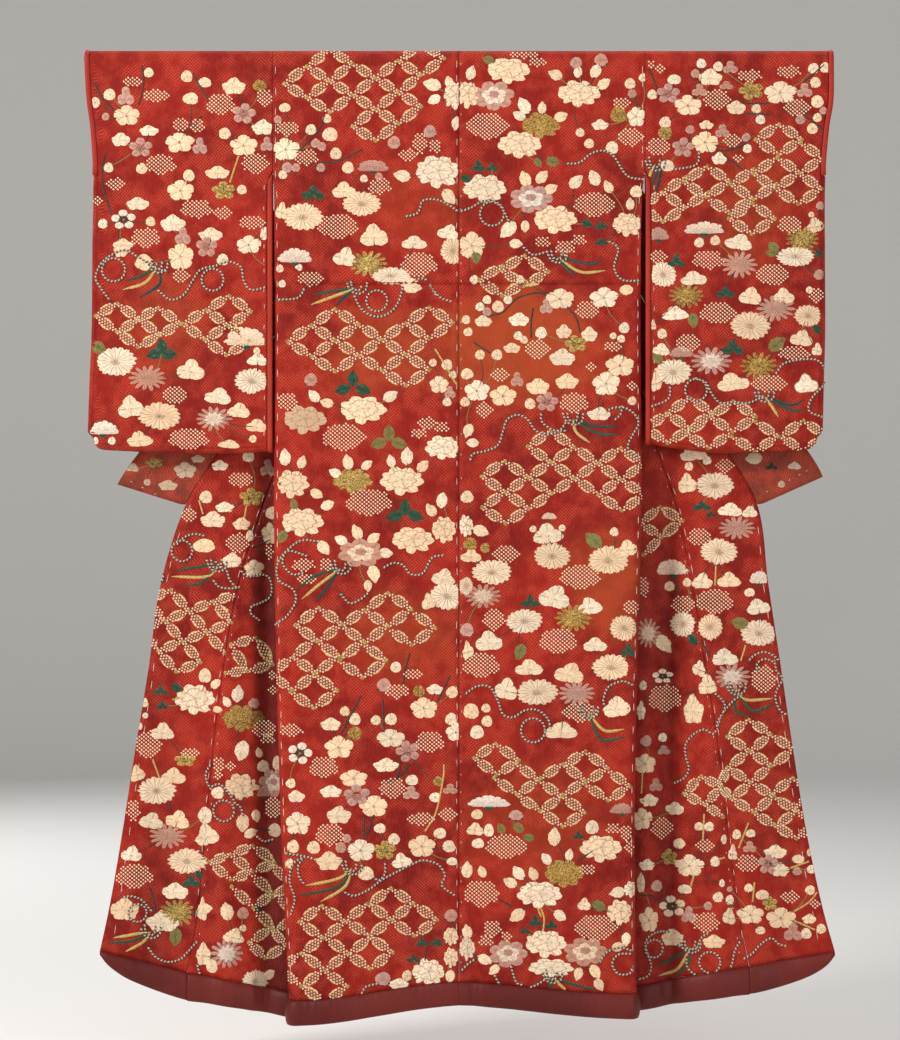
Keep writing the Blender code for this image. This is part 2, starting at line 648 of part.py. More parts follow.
def main():
    for old in list(bpy.data.objects):
        bpy.data.objects.remove(old)
    silk = material("patterned_silk", SILK, 0.55)
    lining = material("lining_silk", LINING, 0.5)
    wood = material("rod_wood", WOOD, 0.5)
    rod(wood)
    for side in SIDES:
        body_panel(side, silk)
        overlap_panel(side, silk)
        sleeve(side, silk)
        sleeve_edges(side, lining)
        hem_rolls(side, lining)
    collar(silk)


main()
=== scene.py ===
import math
import random

import bmesh
import bpy
import numpy as np
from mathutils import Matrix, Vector, noise
from mathutils.bvhtree import BVHTree


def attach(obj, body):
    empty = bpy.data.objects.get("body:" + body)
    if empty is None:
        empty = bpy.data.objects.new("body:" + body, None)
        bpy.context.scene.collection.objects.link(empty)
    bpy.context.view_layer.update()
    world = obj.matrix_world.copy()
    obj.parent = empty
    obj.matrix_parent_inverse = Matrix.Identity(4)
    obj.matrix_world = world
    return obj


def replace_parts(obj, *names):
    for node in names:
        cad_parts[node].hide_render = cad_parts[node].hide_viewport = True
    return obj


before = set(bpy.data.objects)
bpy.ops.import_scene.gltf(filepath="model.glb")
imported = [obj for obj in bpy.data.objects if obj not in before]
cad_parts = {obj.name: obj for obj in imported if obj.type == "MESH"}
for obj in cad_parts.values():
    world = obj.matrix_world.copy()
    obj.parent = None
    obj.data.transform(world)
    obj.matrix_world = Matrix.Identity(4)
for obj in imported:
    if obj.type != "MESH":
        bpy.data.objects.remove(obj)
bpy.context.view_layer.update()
scene = bpy.context.scene
sides = {"left": -1, "right": 1}

# The garment's cut and how it hangs, as in the solids. Metres: down from the rod, out from the centre seam
garment = {
    "wall": 0.0028, "seam": 0.0003, "length": 1.60, "shoulderRadius": 0.0125, "neckHalf": 0.082,
    "neckCorner": 0.008, "collarTurn": 0.15, "panelWidth": 0.31, "overlapTop": 0.235, "collarEnd": 0.76,
    "armhole": 0.19, "underarmEnd": 0.34, "sideClosed": 0.40, "tuckDown": 0.3816,
}
outline = {
    "columns": ("down", "sideLeft", "sideRight", "seamLeft", "seamRight", "edgeLeft", "edgeRight"),
    "rows": [
        (0.000, 0.3163, 0.3163, 0.090, 0.090, 0.090, 0.090),
        (0.120, 0.3163, 0.3163, 0.148, 0.157, 0.148, 0.157),
        (0.190, 0.3160, 0.3155, 0.182, 0.195, 0.182, 0.195),
        (0.235, 0.3140, 0.3110, 0.2037, 0.220, 0.2037, 0.220),
        (0.400, 0.3130, 0.3080, 0.241, 0.266, 0.2836, 0.3116),
        (0.660, 0.3130, 0.3095, 0.300, 0.338, 0.409, 0.456),
        (0.760, 0.3135, 0.3095, 0.336, 0.372, 0.468, 0.511),
        (0.900, 0.3120, 0.3065, 0.378, 0.400, 0.511, 0.530),
        (1.050, 0.3090, 0.3020, 0.404, 0.424, 0.532, 0.552),
        (1.200, 0.3050, 0.2990, 0.422, 0.446, 0.555, 0.573),
        (1.350, 0.3000, 0.2975, 0.435, 0.462, 0.576, 0.595),
        (1.500, 0.2930, 0.2990, 0.450, 0.481, 0.598, 0.622),
        (1.600, 0.2880, 0.3010, 0.466, 0.498, 0.615, 0.644),
    ],
}
layers = {
    "columns": ("down", "gap", "fold", "forward"),
    "rows": [
        (0.00, 0.0125, 0.0060, 0.000), (0.12, 0.0127, 0.0085, 0.000), (0.40, 0.0132, 0.0120, 0.000),
        (0.70, 0.0140, 0.0140, 0.003), (1.10, 0.0150, 0.0165, 0.010), (1.60, 0.0165, 0.0190, 0.016),
    ],
}
hemDown = {
    "left": {"centre": 1.568, "side": 1.6005, "seam": 1.5610, "edge": 1.5225},
    "right": {"centre": 1.568, "side": 1.5890, "seam": 1.5500, "edge": 1.5240},
}
# Folds: side, out at the top, out at the hem, half width, depth, down where it starts, down where it is full
frontFolds = [
    ("left", 0.335, 0.322, 0.024, 0.016, 0.52, 0.90), ("left", 0.385, 0.400, 0.026, -0.009, 0.70, 1.10),
    ("left", 0.470, 0.520, 0.036, 0.007, 0.90, 1.40), ("left", 0.352, 0.356, 0.007, -0.0025, 0.80, 1.10),
    ("left", 0.430, 0.452, 0.010, -0.0022, 1.05, 1.45), ("left", 0.500, 0.566, 0.014, -0.0025, 1.10, 1.50),
    ("right", 0.322, 0.318, 0.012, -0.006, 0.95, 1.20), ("right", 0.350, 0.362, 0.022, 0.017, 0.55, 0.95),
    ("right", 0.410, 0.440, 0.028, -0.010, 0.70, 1.10), ("right", 0.500, 0.560, 0.036, 0.007, 0.90, 1.40),
    ("right", 0.390, 0.402, 0.008, 0.0024, 0.85, 1.15), ("right", 0.470, 0.512, 0.012, -0.0022, 1.00, 1.45),
]
backFolds = [
    ("left", 0.060, 0.080, 0.050, 0.0030, 0.80, 1.40), ("left", 0.200, 0.220, 0.060, -0.0030, 0.90, 1.45),
    ("left", 0.140, 0.150, 0.016, 0.0016, 1.15, 1.50), ("left", 0.262, 0.258, 0.012, 0.0018, 1.00, 1.45),
    ("right", 0.022, 0.026, 0.014, 0.0045, 1.20, 1.55), ("right", 0.150, 0.170, 0.060, -0.0030, 0.90, 1.45),
    ("right", 0.095, 0.086, 0.015, 0.0016, 1.10, 1.50), ("right", 0.255, 0.262, 0.014, 0.0020, 0.95, 1.40),
]


def mix(a, b, t):
    return a + (b - a) * t


def smooth(low, high, value):
    t = min(1.0, max(0.0, (value - low) / (high - low)))
    return t * t * (3 - 2 * t)


def readTable(table, column, at):
    rows, pick = table["rows"], table["columns"].index(column)
    at = min(rows[-1][0], max(rows[0][0], at))
    i = max(k for k in range(len(rows) - 1) if rows[k][0] <= at)
    slopes = []
    for k in (i, i + 1):
        before, after = max(k - 1, 0), min(k + 1, len(rows) - 1)
        slopes.append((rows[after][pick] - rows[before][pick]) / (rows[after][0] - rows[before][0]))
    span = rows[i + 1][0] - rows[i][0]
    t = (at - rows[i][0]) / span
    return (rows[i][pick] * (2 * t ** 3 - 3 * t ** 2 + 1) + rows[i + 1][pick] * (3 * t ** 2 - 2 * t ** 3)
            + slopes[0] * span * (t ** 3 - 2 * t ** 2 + t) + slopes[1] * span * (t ** 3 - t ** 2))


def outAt(name, side, down):
    return readTable(outline, name + side.capitalize(), down)


def foldDepth(table, side, out, down):
    depth = 0.0
    for foldSide, top, hem, halfWidth, deep, start, full in table:
        if foldSide == side:
            centre = mix(top, hem, min(1.0, down / garment["length"]))
            depth += deep * smooth(start, full, down) * math.exp(-((out - centre) / halfWidth) ** 2)
    return depth


def foldShade(place):  # painted shade: the valleys of the turned-out fronts, and the strip beside the back panel's side edge, are darkened as shade
    side, out, down = "left" if place[0] < 0 else "right", abs(place[0]), -place[2]
    if place[1] < 0.012 or down < 0.3:
        return 0.0
    # painted shade beside the back panel's edge, deeper in the fold valleys
    beside = math.exp(-((out - outAt("side", side, down)) / 0.034) ** 2) * smooth(0.55, 0.80, down)
    valleyShade = max(0.0, foldDepth(frontFolds, side, out, down)) / 0.016
    return min(1.0, valleyShade + 0.7 * beside) * (1.0 if side == "left" else 0.5)


def hemDrop(hemLevel, down):
    return down + (hemLevel - garment["length"]) * (down / garment["length"]) ** 4


def ripple(x, z, seed, size=1.0):  # small unevenness of soft cloth, the same on every run
    broad, fine = noise.noise(Vector((x * 26, z * 9, seed))), noise.noise(Vector((x * 75, z * 40, seed + 5)))
    return 0.0007 * size * broad + 0.0003 * size * fine


def pucker(distance, along, seed):  # short pulls beside a sewn seam
    near = math.exp(-(distance / 0.012) ** 2)
    sway = 3 * noise.noise(Vector((along * 12, seed, 0)))
    fine = 0.0006 * noise.noise(Vector((along * 70, seed, 0.3)))
    return near * (fine + 0.0005 * math.sin(along * 310 + sway))


def sideAngle(down):
    return math.radians(90) * (1 - smooth(garment["underarmEnd"], garment["sideClosed"], down))


def sideEdge(side, down, length, way):
    out, gap = outAt("side", side, down), readTable(layers, "gap", down)
    start = sideAngle(down)
    lead = 0.0015 * math.cos(start)
    if length <= lead:
        return out, way * (max(garment["seam"] / 2, gap * math.sin(start)) + length)
    radius = gap - lead - garment["seam"] / 2
    turned = start + (length - lead) / radius
    centre = out - radius * math.cos(start)
    if turned < math.radians(90):
        return centre + radius * math.cos(turned), way * (gap - radius + radius * math.sin(turned))
    return centre - radius * (turned - math.radians(90)), way * gap


edgeLengths = [0.0, 0.0015, 0.004, 0.0065, 0.009, 0.0115, 0.0145, 0.018, 0.0225]
backColumns = [garment["seam"] / 2] + [0.0082 * k for k in range(1, 10)] + [garment["neckHalf"]]
backColumns += [garment["neckHalf"] + (0.262 - garment["neckHalf"]) * k / 22 for k in range(1, 23)]


def backRow(side, down):
    out, hem, gap = outAt("side", side, down), hemDown[side], readTable(layers, "gap", down)
    row = [(x, -gap) for x in backColumns]
    row += [sideEdge(side, down, length, -1) for length in reversed(edgeLengths)]
    points, tuck = [], garment["tuckDown"]
    for x, y in row:
        level = hemDrop(mix(hem["centre"], hem["side"], smooth(-0.1, 1.0, x / out) * 1.02 - 0.02), down)
        quiet = 1 - smooth(out - 0.05, out - 0.02, x)
        y += (foldDepth(backFolds, side, x, down) + creaseDepth("back_" + side, x / 0.3, down)) * quiet
        hanging = smooth(0.0, 0.06, down)
        y += ripple(x * sides[side], down, 1.5) * hanging * quiet + pucker(x, down, 2.0) * hanging
        y -= 0.0042 * smooth(tuck - 0.035, tuck, down) * (down < tuck) * quiet
        y -= 0.0030 * math.exp(-((down - 1.56) / 0.03) ** 2) * quiet  # lifted by the padding above the hem
        points.append((x, y, -level))
    return points


def returnDepth(side, out, down):
    sideOut, edge = outAt("side", side, down), outAt("edge", side, down)
    base = readTable(layers, "gap", down) + 2 * readTable(layers, "fold", down)
    reach = smooth(0.0, 1.0, (out - sideOut) / max(edge - sideOut, 0.05))
    seamPull = pucker(abs(out - outAt("seam", side, down)), down, 4.0)
    soft = ripple(out * sides[side], down, 7.5) + seamPull * smooth(0.25, 0.4, down)
    folded = base - readTable(layers, "forward", down) * reach + foldDepth(frontFolds, side, out, down)
    return folded + soft * smooth(0.2, 0.4, down)


def frontHem(side, out, atFold=False):
    hem = hemDown[side]
    sideOut, seam, edge = [outAt(name, side, garment["length"]) for name in ("side", "seam", "edge")]
    if atFold or out <= sideOut:
        return hem["side"]
    if out <= seam:
        return mix(hem["side"], hem["seam"], smooth(-0.3, 1.15, (out - sideOut) / (seam - sideOut)))
    return mix(hem["seam"], hem["edge"], (out - seam) / (edge - seam))


def frontFold(side, down):
    seam, fold, turnEnd = outAt("seam", side, down), readTable(layers, "fold", down), garment["collarTurn"]
    if down >= turnEnd:
        sideOut = sideEdge(side, down, edgeLengths[-1], 1)[0]
        wide = garment["panelWidth"]
        width = mix(wide - 0.03, wide, smooth(turnEnd, garment["overlapTop"], down))
        start = (seam + sideOut - (width - edgeLengths[-1]) + math.pi * fold) / 2
        return start, math.pi, seam - start
    turn = max(0.001, math.pi * smooth(0.0, turnEnd, down))
    after = mix(0.012, frontFold(side, turnEnd)[2], down / turnEnd)
    radius = math.pi * fold / turn
    return seam + radius * math.sin(turn) + after * math.cos(turn), turn, after


def frontRow(side, down, innerSteps=14, foldSteps=12, outerSteps=26):
    gap, fold = readTable(layers, "gap", down), readTable(layers, "fold", down)
    start, turn, after = frontFold(side, down)
    row = [sideEdge(side, down, length, 1) for length in edgeLengths]
    fromX, fromY = row[-1]
    for k in range(1, innerSteps + 1):
        x = mix(fromX, start, k / innerSteps)
        row.append((x, gap + ripple(x * sides[side], down, 3.5) * smooth(0.0, 0.1, down)
            * smooth(0, 0.3, k / innerSteps) * smooth(1, 0.7, k / innerSteps)))
    radius = math.pi * fold / turn
    for k in range(1, foldSteps + 1):
        angle = turn * k / foldSteps
        row.append((start - radius * math.sin(angle), gap + radius * (1 - math.cos(angle))))
    endX, endY = row[-1]
    points = [(x, y, -hemDrop(frontHem(side, x, True), down)) for x, y in row]
    narrow = min(0.004, after / 4)
    for k in range(1, outerSteps + 1):
        run = after if k == outerSteps else (after - narrow) * k / (outerSteps - 1)
        if down >= garment["collarTurn"]:
            x = endX + run - garment["seam"] * 0.6 * run / after
            y = mix(endY, returnDepth(side, x, down), smooth(0.0, 0.5, run / after))
        else:
            x, y = endX - run * math.cos(turn), endY + run * math.sin(turn)
        points.append((x, y, -hemDrop(frontHem(side, x), down)))
    return points


def overlapRow(side, down, steps=16):
    seam = outAt("seam", side, down) + garment["seam"] * 0.6
    edge = outAt("edge", side, down) - (garment["seam"] if down <= garment["collarEnd"] else 0.0)
    narrow = min(0.004, (edge - seam) / 4)
    points = []
    for k in range(steps + 1):
        x = mix(seam + narrow, edge, (k - 1) / (steps - 1)) if k else seam
        points.append((x, returnDepth(side, x, down), -hemDrop(frontHem(side, x), down)))
    return points


nape = [  # out, first and last angle round the rod, fall, width
    (0.0000, 87.4, 12.0, 12.0, 0.058), (0.0140, 87.4, 13.0, 13.0, 0.058), (0.0280, 87.4, 14.0, 14.0, 0.058),
    (0.0420, 87.4, 18.0, 18.0, 0.058), (0.0560, 87.4, 22.0, 22.0, 0.058), (0.0660, 87.4, 26.0, 26.5, 0.058),
    (0.0755, 87.4, 30.0, 31.0, 0.058), (0.0826, 64.0, 26.0, 36.0, 0.058), (0.0848, 38.0, 12.0, 38.0, 0.058),
]
lapel = {
    "columns": ("down", "outLeft", "outRight", "backY", "upLeft", "upRight", "width"),
    "rows": [
        (0.000, 0.12, 0.12, 0.70, -0.70, -0.70, 0.058), (0.040, 0.34, 0.34, 0.66, -0.68, -0.68, 0.060),
        (0.080, 0.62, 0.62, 0.55, -0.50, -0.50, 0.066), (0.115, 0.84, 0.84, 0.38, -0.30, -0.30, 0.075),
        (0.150, 0.95, 0.95, 0.19, -0.12, -0.12, 0.084), (0.190, 0.99, 0.99, 0.06, 0.00, 0.02, 0.091),
        (0.235, 0.99, 0.99, 0.00, 0.11, 0.14, 0.096), (0.400, 0.97, 0.96, 0.00, 0.22, 0.28, 0.108),
        (0.660, 0.96, 0.93, 0.00, 0.28, 0.36, 0.116), (0.760, 0.955, 0.913, 0.00, 0.30, 0.408, 0.122),
    ],
}


def onShoulder(angle, radius=None):
    turned, radius = math.radians(angle), radius or garment["shoulderRadius"]
    return radius * math.cos(turned), radius * math.sin(turned)


def napeRow(out, startAngle, endAngle, fall, width):
    points = []
    for k in range(7):
        y, z = onShoulder(mix(startAngle, endAngle, (k / 6) ** 1.2))
        points.append((out, y, z))
    arc = garment["shoulderRadius"] * math.radians(startAngle - endAngle)
    end = math.radians(fall)
    for k in range(1, 9):
        run = (width - arc) * k / 8
        points.append((out, y + run * math.sin(end), z - run * math.cos(end)))
    return points


def lapelRow(side, down):
    if down < garment["overlapTop"]:
        row = frontRow(side, down)
    else:
        edge = outAt("edge", side, down)
        row = [(x, returnDepth(side, x, down), -hemDrop(frontHem(side, x), down))
            for x in (edge - 0.01, edge)]
    (fromX, fromY, _), (x, y, z) = row[-2:]
    level = math.hypot(x - fromX, y - fromY)
    leave = [(x - fromX) / level, (y - fromY) / level, 0.0]
    sideName = side.capitalize()
    way = [readTable(lapel, "out" + sideName, down), readTable(lapel, "backY", down),
        readTable(lapel, "up" + sideName, down)]
    if down == 0.0:
        leave, x = way, x - 0.0024
    width = readTable(lapel, "width", down)
    lengths = [0.0, 0.002, 0.004, 0.006, 0.008, 0.010, 0.013, 0.017]
    lengths += [mix(0.017, width, k / 7) for k in range(1, 8)]
    points, done = [], -mix(0.0015, garment["seam"], smooth(0.12, 0.24, down))
    for length in lengths:
        turned = smooth(0.0, 0.015, (done + length) / 2)
        step = [mix(a, b, turned) for a, b in zip(leave, way)]
        size = math.hypot(*step)
        x, y, z = [value + part / size * (length - done) for value, part in zip((x, y, z), step)]
        points.append((x, y + ripple(x * sides[side], z, 11.0) * smooth(0.2, 0.35, down), z))
        done = length
    return points


sleeveCut = {
    "join": 0.3166, "free": 0.3266, "corner": 0.018, "bottomRadius": 0.0105, "cuff": 0.20,
    "edgeRoll": 0.0092, "edgeThick": 0.0062, "cloth": 0.305, "panel": 0.31,
    "columns": ("down", "outerLeft", "outerRight"),
    "rows": [
        (0.00, 0.6370, 0.6370), (0.07, 0.6330, 0.6365), (0.12, 0.6265, 0.6290), (0.20, 0.6220, 0.6225),
        (0.33, 0.6235, 0.6220), (0.46, 0.6245, 0.6225), (0.56, 0.6285, 0.6200), (0.67, 0.6320, 0.6175),
    ],
}
sleeveHem = {
    "columns": ("across", "downLeft", "downRight"),
    "rows": [
        (0.00, 0.667, 0.6545), (0.12, 0.669, 0.6605), (0.40, 0.670, 0.669), (0.75, 0.667, 0.667),
        (1.00, 0.663, 0.662),
    ],
}
sleeveCreases = [  # side, across, down, tilt, length, half width, depth: long soft pulls
    ("left", 0.70, 0.345, 0.10, 0.10, 0.006, 0.0022), ("left", 0.35, 0.62, -0.2, 0.14, 0.012, -0.0020),
    ("left", 0.15, 0.40, 1.4, 0.20, 0.010, 0.0018), ("left", 0.55, 0.15, 0.5, 0.16, 0.012, -0.0016),
    ("right", 0.25, 0.352, 0.02, 0.13, 0.005, 0.0026), ("right", 0.62, 0.60, 0.15, 0.16, 0.012, -0.0020),
    ("right", 0.85, 0.45, 1.5, 0.18, 0.010, 0.0018), ("right", 0.45, 0.13, -0.4, 0.15, 0.012, -0.0016),
    ("left", 0.16, 0.27, 0.0, 0.11, 0.004, 0.0018), ("right", 0.20, 0.272, 0.03, 0.13, 0.004, 0.0018),
    ("back_left", 0.45, 1.26, 0.03, 0.22, 0.006, 0.0022),
    ("back_left", 0.60, 1.02, -0.15, 0.14, 0.010, 0.0016),
    ("back_left", 0.30, 0.56, 0.25, 0.16, 0.012, -0.0014),
    ("back_right", 0.50, 1.275, -0.05, 0.20, 0.006, 0.0020),
    ("back_right", 0.80, 0.70, 0.90, 0.12, 0.010, -0.0016),
    ("back_right", 0.35, 0.44, -0.20, 0.18, 0.008, 0.0015),
]


def sleeveX(side, across, down):
    inner = mix(sleeveCut["join"], sleeveCut["free"], smooth(garment["armhole"], 0.213, down))
    outer = readTable(sleeveCut, "outer" + side.capitalize(), down)
    return mix(inner, outer - sleeveCut["edgeRoll"] - garment["seam"], across)


def sleeveGap(across, down):
    swell = 0.002 * math.sin(math.pi * min(1.0, down / 0.66)) * math.sin(math.pi * across)
    return garment["shoulderRadius"] + swell


def creaseDepth(side, across, down):
    depth = 0.0
    for creaseSide, atAcross, atDown, tilt, length, halfWidth, deep in sleeveCreases:
        if creaseSide == side:
            dx, dz = (across - atAcross) * 0.3, down - atDown
            along = dx * math.cos(tilt) + dz * math.sin(tilt)
            off = dz * math.cos(tilt) - dx * math.sin(tilt)
            depth += deep * math.exp(-(off / halfWidth) ** 2 - (along / length * 2) ** 4)
    return depth


sleeveRows = [0.0] + [0.0095 * k for k in range(1, 20)] + [0.19]
sleeveRows += [0.2145 + 0.0096 * k for k in range(45)]


def sleeveRing(side, across):
    left = (1 - across) * (readTable(sleeveCut, "outer" + side.capitalize(), 0.66) - sleeveCut["free"])
    lift, corner = 0.0, sleeveCut["corner"]
    if left < corner:
        lift = corner - math.sqrt(corner ** 2 - (corner - left) ** 2)
    bottomRadius = sleeveCut["bottomRadius"]
    last = readTable(sleeveHem, "down" + side.capitalize(), across) - lift - bottomRadius
    downs = [down for down in sleeveRows if down < 0.63]
    downs = [down + 0.01 * across * (down == 0.19) for down in downs] + [last]
    back, front = [], []
    for down in downs:
        down = min(down, last)
        gap = mix(sleeveGap(across, down), bottomRadius, smooth(0.45, last, down))
        x = sleeveX(side, across, down)
        quiet = smooth(0.0, 0.05, down) * smooth(0.0, 0.04, across)
        quiet = quiet * smooth(1.0, 0.96, across) * smooth(last, last - 0.02, down)
        soft = ripple(x * sides[side], down, 21.0, 1.2) + creaseDepth(side, across, down)
        back.append((x, -gap + soft * quiet + pucker(across * 0.3, down, 9.0) * quiet, -down))
        soft = ripple(x * sides[side], down, 25.0, 1.2) + creaseDepth(side, 1 - across, down) * 0.8
        front.append((x, gap - soft * quiet, -down))
    ring = list(reversed(back))
    for angle in [11.25 * k for k in range(15, 0, -1)]:
        y, z = onShoulder(angle)
        ring.append((sleeveX(side, across, 0.0), y, z))
    ring += front
    for angle in [-22.5 * k for k in range(1, 8)]:
        y, z = onShoulder(angle, bottomRadius)
        ring.append((sleeveX(side, across, last), y, z - last))
    return ring, len(downs)


# Meshes: grids of points with the cloth's own measure as their UV map

def newSheet(side=None):
    return {"points": [], "uv": [], "faces": [], "sign": sides.get(side, 1)}


def addRow(sheet, points, alongCloth, start=0.0):
    first, across = len(sheet["points"]), start
    for i, (x, y, z) in enumerate(points):
        if i:
            across += math.dist(points[i - 1], points[i])
        sheet["points"].append((sheet["sign"] * x, y, z))
        sheet["uv"].append((across * sheet["sign"], alongCloth))
    return list(range(first, len(sheet["points"])))


def addStrip(sheet, lower, upper):
    if len(lower) == len(upper):
        sheet["faces"] += [(lower[i], lower[i + 1], upper[i + 1], upper[i]) for i in range(len(lower) - 1)]
        return
    lengths = []
    for row in (lower, upper):
        at = [sheet["points"][corner] for corner in row]
        steps = np.cumsum([0.0] + [math.dist(a, b) for a, b in zip(at, at[1:])])
        lengths.append(steps / steps[-1])
    i = j = 0
    while i < len(lower) - 1 or j < len(upper) - 1:
        nextLow = lengths[0][i + 1] if i < len(lower) - 1 else 2.0
        nextUp = lengths[1][j + 1] if j < len(upper) - 1 else 2.0
        if nextLow <= nextUp:
            sheet["faces"].append((lower[i], lower[i + 1], upper[j]))
            i += 1
        else:
            sheet["faces"].append((lower[i], upper[j + 1], upper[j]))
            j += 1


def addUv(mesh, name, perVertex):
    layer = mesh.uv_layers.new(name=name)
    corners = np.empty(len(mesh.loops), dtype=np.int32)
    mesh.loops.foreach_get("vertex_index", corners)
    layer.data.foreach_set("uv", np.asarray(perVertex, dtype=np.float32)[corners].ravel())


def finishSheet(name, sheet, finishes, wall=None, outwards=None):
    mesh = bpy.data.meshes.new(name)
    mesh.from_pydata(sheet["points"], [], sheet["faces"])
    for finish in finishes:
        mesh.materials.append(finish)
    addUv(mesh, "cloth", sheet["uv"])
    # painted shade: the darkness of the fold valleys is stored on each point as a UV map
    shadeOf = foldShade if "body" in name or "overlap" in name else lambda place: 0.0
    addUv(mesh, "paintedFoldShade", [(shadeOf(place), 0.0) for place in sheet["points"]])
    work = bmesh.new()
    work.from_mesh(mesh)
    bmesh.ops.recalc_face_normals(work, faces=work.faces)
    work.to_mesh(mesh)
    work.free()
    if outwards:  # a place and the direction that the figured side faces there
        place, way = Vector(outwards[0]), Vector(outwards[1])
        nearest = min(mesh.polygons, key=lambda polygon: (polygon.center - place).length)
        if nearest.normal.dot(way) < 0:
            mesh.flip_normals()
    mesh.shade_smooth()
    piece = bpy.data.objects.new(name, mesh)
    scene.collection.objects.link(piece)
    if wall:
        cloth = piece.modifiers.new("Wall", "SOLIDIFY")
        cloth.thickness, cloth.offset, cloth.use_rim = wall, 0.0, True
        cloth.material_offset = 1
    return piece


def stepRange(start, end, step):
    count = max(1, round((end - start) / step))
    return [mix(start, end, k / count) for k in range(count + 1)]


shoulderWay = {"top": 0.0196, "front": 0.0393}  # cloth's measure from the back over the rod


def bodyPanel(side, finishes):
    sheet, tuck = newSheet(side), garment["tuckDown"]
    downs = sorted(set(stepRange(0.0, tuck - 0.0003, 0.0085) + [tuck + 0.0006]
        + stepRange(tuck + 0.006, 1.60, 0.0085)), reverse=True)
    rows = [addRow(sheet, backRow(side, down), -down) for down in downs]
    atShoulder = [point[0] for point in backRow(side, 0.0)]
    for angle in [11.25 * k for k in range(15, 8, -1)] + [94.0]:
        y, z = onShoulder(angle)
        along = garment["shoulderRadius"] * math.radians(180 - angle)
        rows.append(addRow(sheet, [(x, y, z) for x in atShoulder], along))
    top = []
    for x in atShoulder:
        y, z = onShoulder(90.69 if x < garment["neckHalf"] - 0.001 else 90)
        top.append((x, y, z))
    rows.append(addRow(sheet, top, shoulderWay["top"]))
    for lower, upper in zip(rows, rows[1:]):
        addStrip(sheet, lower, upper)
    before = rows[-1][backColumns.index(garment["neckHalf"]):]
    atFront = [point[0] for point in reversed(frontRow(side, 0.0))]
    for angle in [11.25 * k for k in range(7, 0, -1)]:
        y, z = onShoulder(angle)
        corner = garment["neckCorner"] * angle / 90
        points = [(x - corner * max(0.0, (0.13 - x) / 0.04), y, z) for x in atFront]
        along = shoulderWay["front"] - garment["shoulderRadius"] * math.radians(angle)
        row = addRow(sheet, points, along, 0.09)
        addStrip(sheet, before, row)
        before = row
    for down in stepRange(0.0, 0.15, 0.0075) + stepRange(0.1585, 1.60, 0.0092):
        row = addRow(sheet, list(reversed(frontRow(side, down))), shoulderWay["front"] + down, 0.0)
        addStrip(sheet, before, row)
        before = row
    return finishSheet(f"dressed_body_{side}", sheet, finishes, garment["wall"],
        ((sides[side] * 0.2, -0.0125, -0.6), (0, -1, 0)))


def overlapPanel(side, finishes):
    sheet = newSheet(side)
    rows = [addRow(sheet, overlapRow(side, down), -down) for down in stepRange(0.245, 1.60, 0.009)]
    for upper, lower in zip(rows, rows[1:]):
        addStrip(sheet, upper, lower)
    return finishSheet(f"dressed_overlap_{side}", sheet, finishes, garment["wall"],
        ((sides[side] * 0.5, 0.04, -1.3), (0, -1, 0)))


def collarBand(finishes):
    sheet, chain, length = newSheet(), [], 0.0
    for side, sign in sides.items():
        downs = stepRange(0.0, 0.15, 0.0075) + stepRange(0.16, 0.76, 0.01)
        rows = [lapelRow(side, down) for down in reversed(downs)]
        rows += [napeRow(*entry) for entry in reversed(nape)]
        rows = [[(sign * x, y, z) for x, y, z in row] for row in rows]
        chain += rows if side == "left" else list(reversed(rows))[1:]
    placed = []
    for i, row in enumerate(chain):
        length += math.dist(chain[i - 1][0], row[0]) if i else 0.0
        placed.append(addRow(sheet, row, length))
    for before, after in zip(placed, placed[1:]):
        addStrip(sheet, before, after)
    return finishSheet("dressed_collar", sheet, finishes, garment["wall"],
        ((0.33, 0.04, -0.45), (0, -1, 0)))


def sleevePiece(side, finishes):
    sheet = newSheet(side)
    columns = [0.0, 0.008, 0.02] + [0.02 + 0.93 * k / 34 for k in range(1, 35)] + [0.965, 0.98, 0.99, 1.0]
    rings = []
    for across in columns:
        ring, count = sleeveRing(side, across)
        rings.append(addRow(sheet, ring, across * sleeveCut["cloth"]))
    for i in range(len(sheet["uv"])):  # across the sleeve first, as on the panels
        sheet["uv"][i] = (sheet["uv"][i][1] * sheet["sign"], sheet["uv"][i][0] * sheet["sign"])
    for inner, outer in zip(rings, rings[1:]):
        addStrip(sheet, inner + inner[:1], outer + outer[:1])
    last = rings[-1]
    back, front = list(reversed(last[:count])), last[-7 - count:-7]
    below = list(reversed(last[-7:]))
    first = next(i for i in range(count) if -sheet["points"][back[i]][2] > 0.195)
    rows = []
    for i in range(first, count):
        x, yBack, z = sheet["points"][back[i]]
        radius = (sheet["points"][front[i]][1] - yBack) / 2
        bulge, middle = min(radius, sleeveCut["edgeRoll"]), (sheet["points"][front[i]][1] + yBack) / 2
        turns = [math.radians(22.5 * k) for k in range(-3, 4)]
        between = [(abs(x) + bulge * math.cos(a), middle + radius * math.sin(a), z) for a in turns]
        rows.append([back[i]] + addRow(sheet, between, z, sleeveCut["panel"]) + [front[i]])
    for upper, lower in zip(rows, rows[1:]):
        addStrip(sheet, upper, lower)
    foot = rows[-1]
    sheet["faces"].append((foot[0], foot[1], below[0]))
    for k in range(6):
        sheet["faces"].append((foot[k + 1], foot[k + 2], below[k + 1], below[k]))
    sheet["faces"].append((foot[7], foot[8], below[6]))
    return finishSheet(f"dressed_sleeve_{side}", sheet, finishes, garment["wall"],
        ((sides[side] * 0.45, -0.0125, -0.4), (0, -1, 0)))


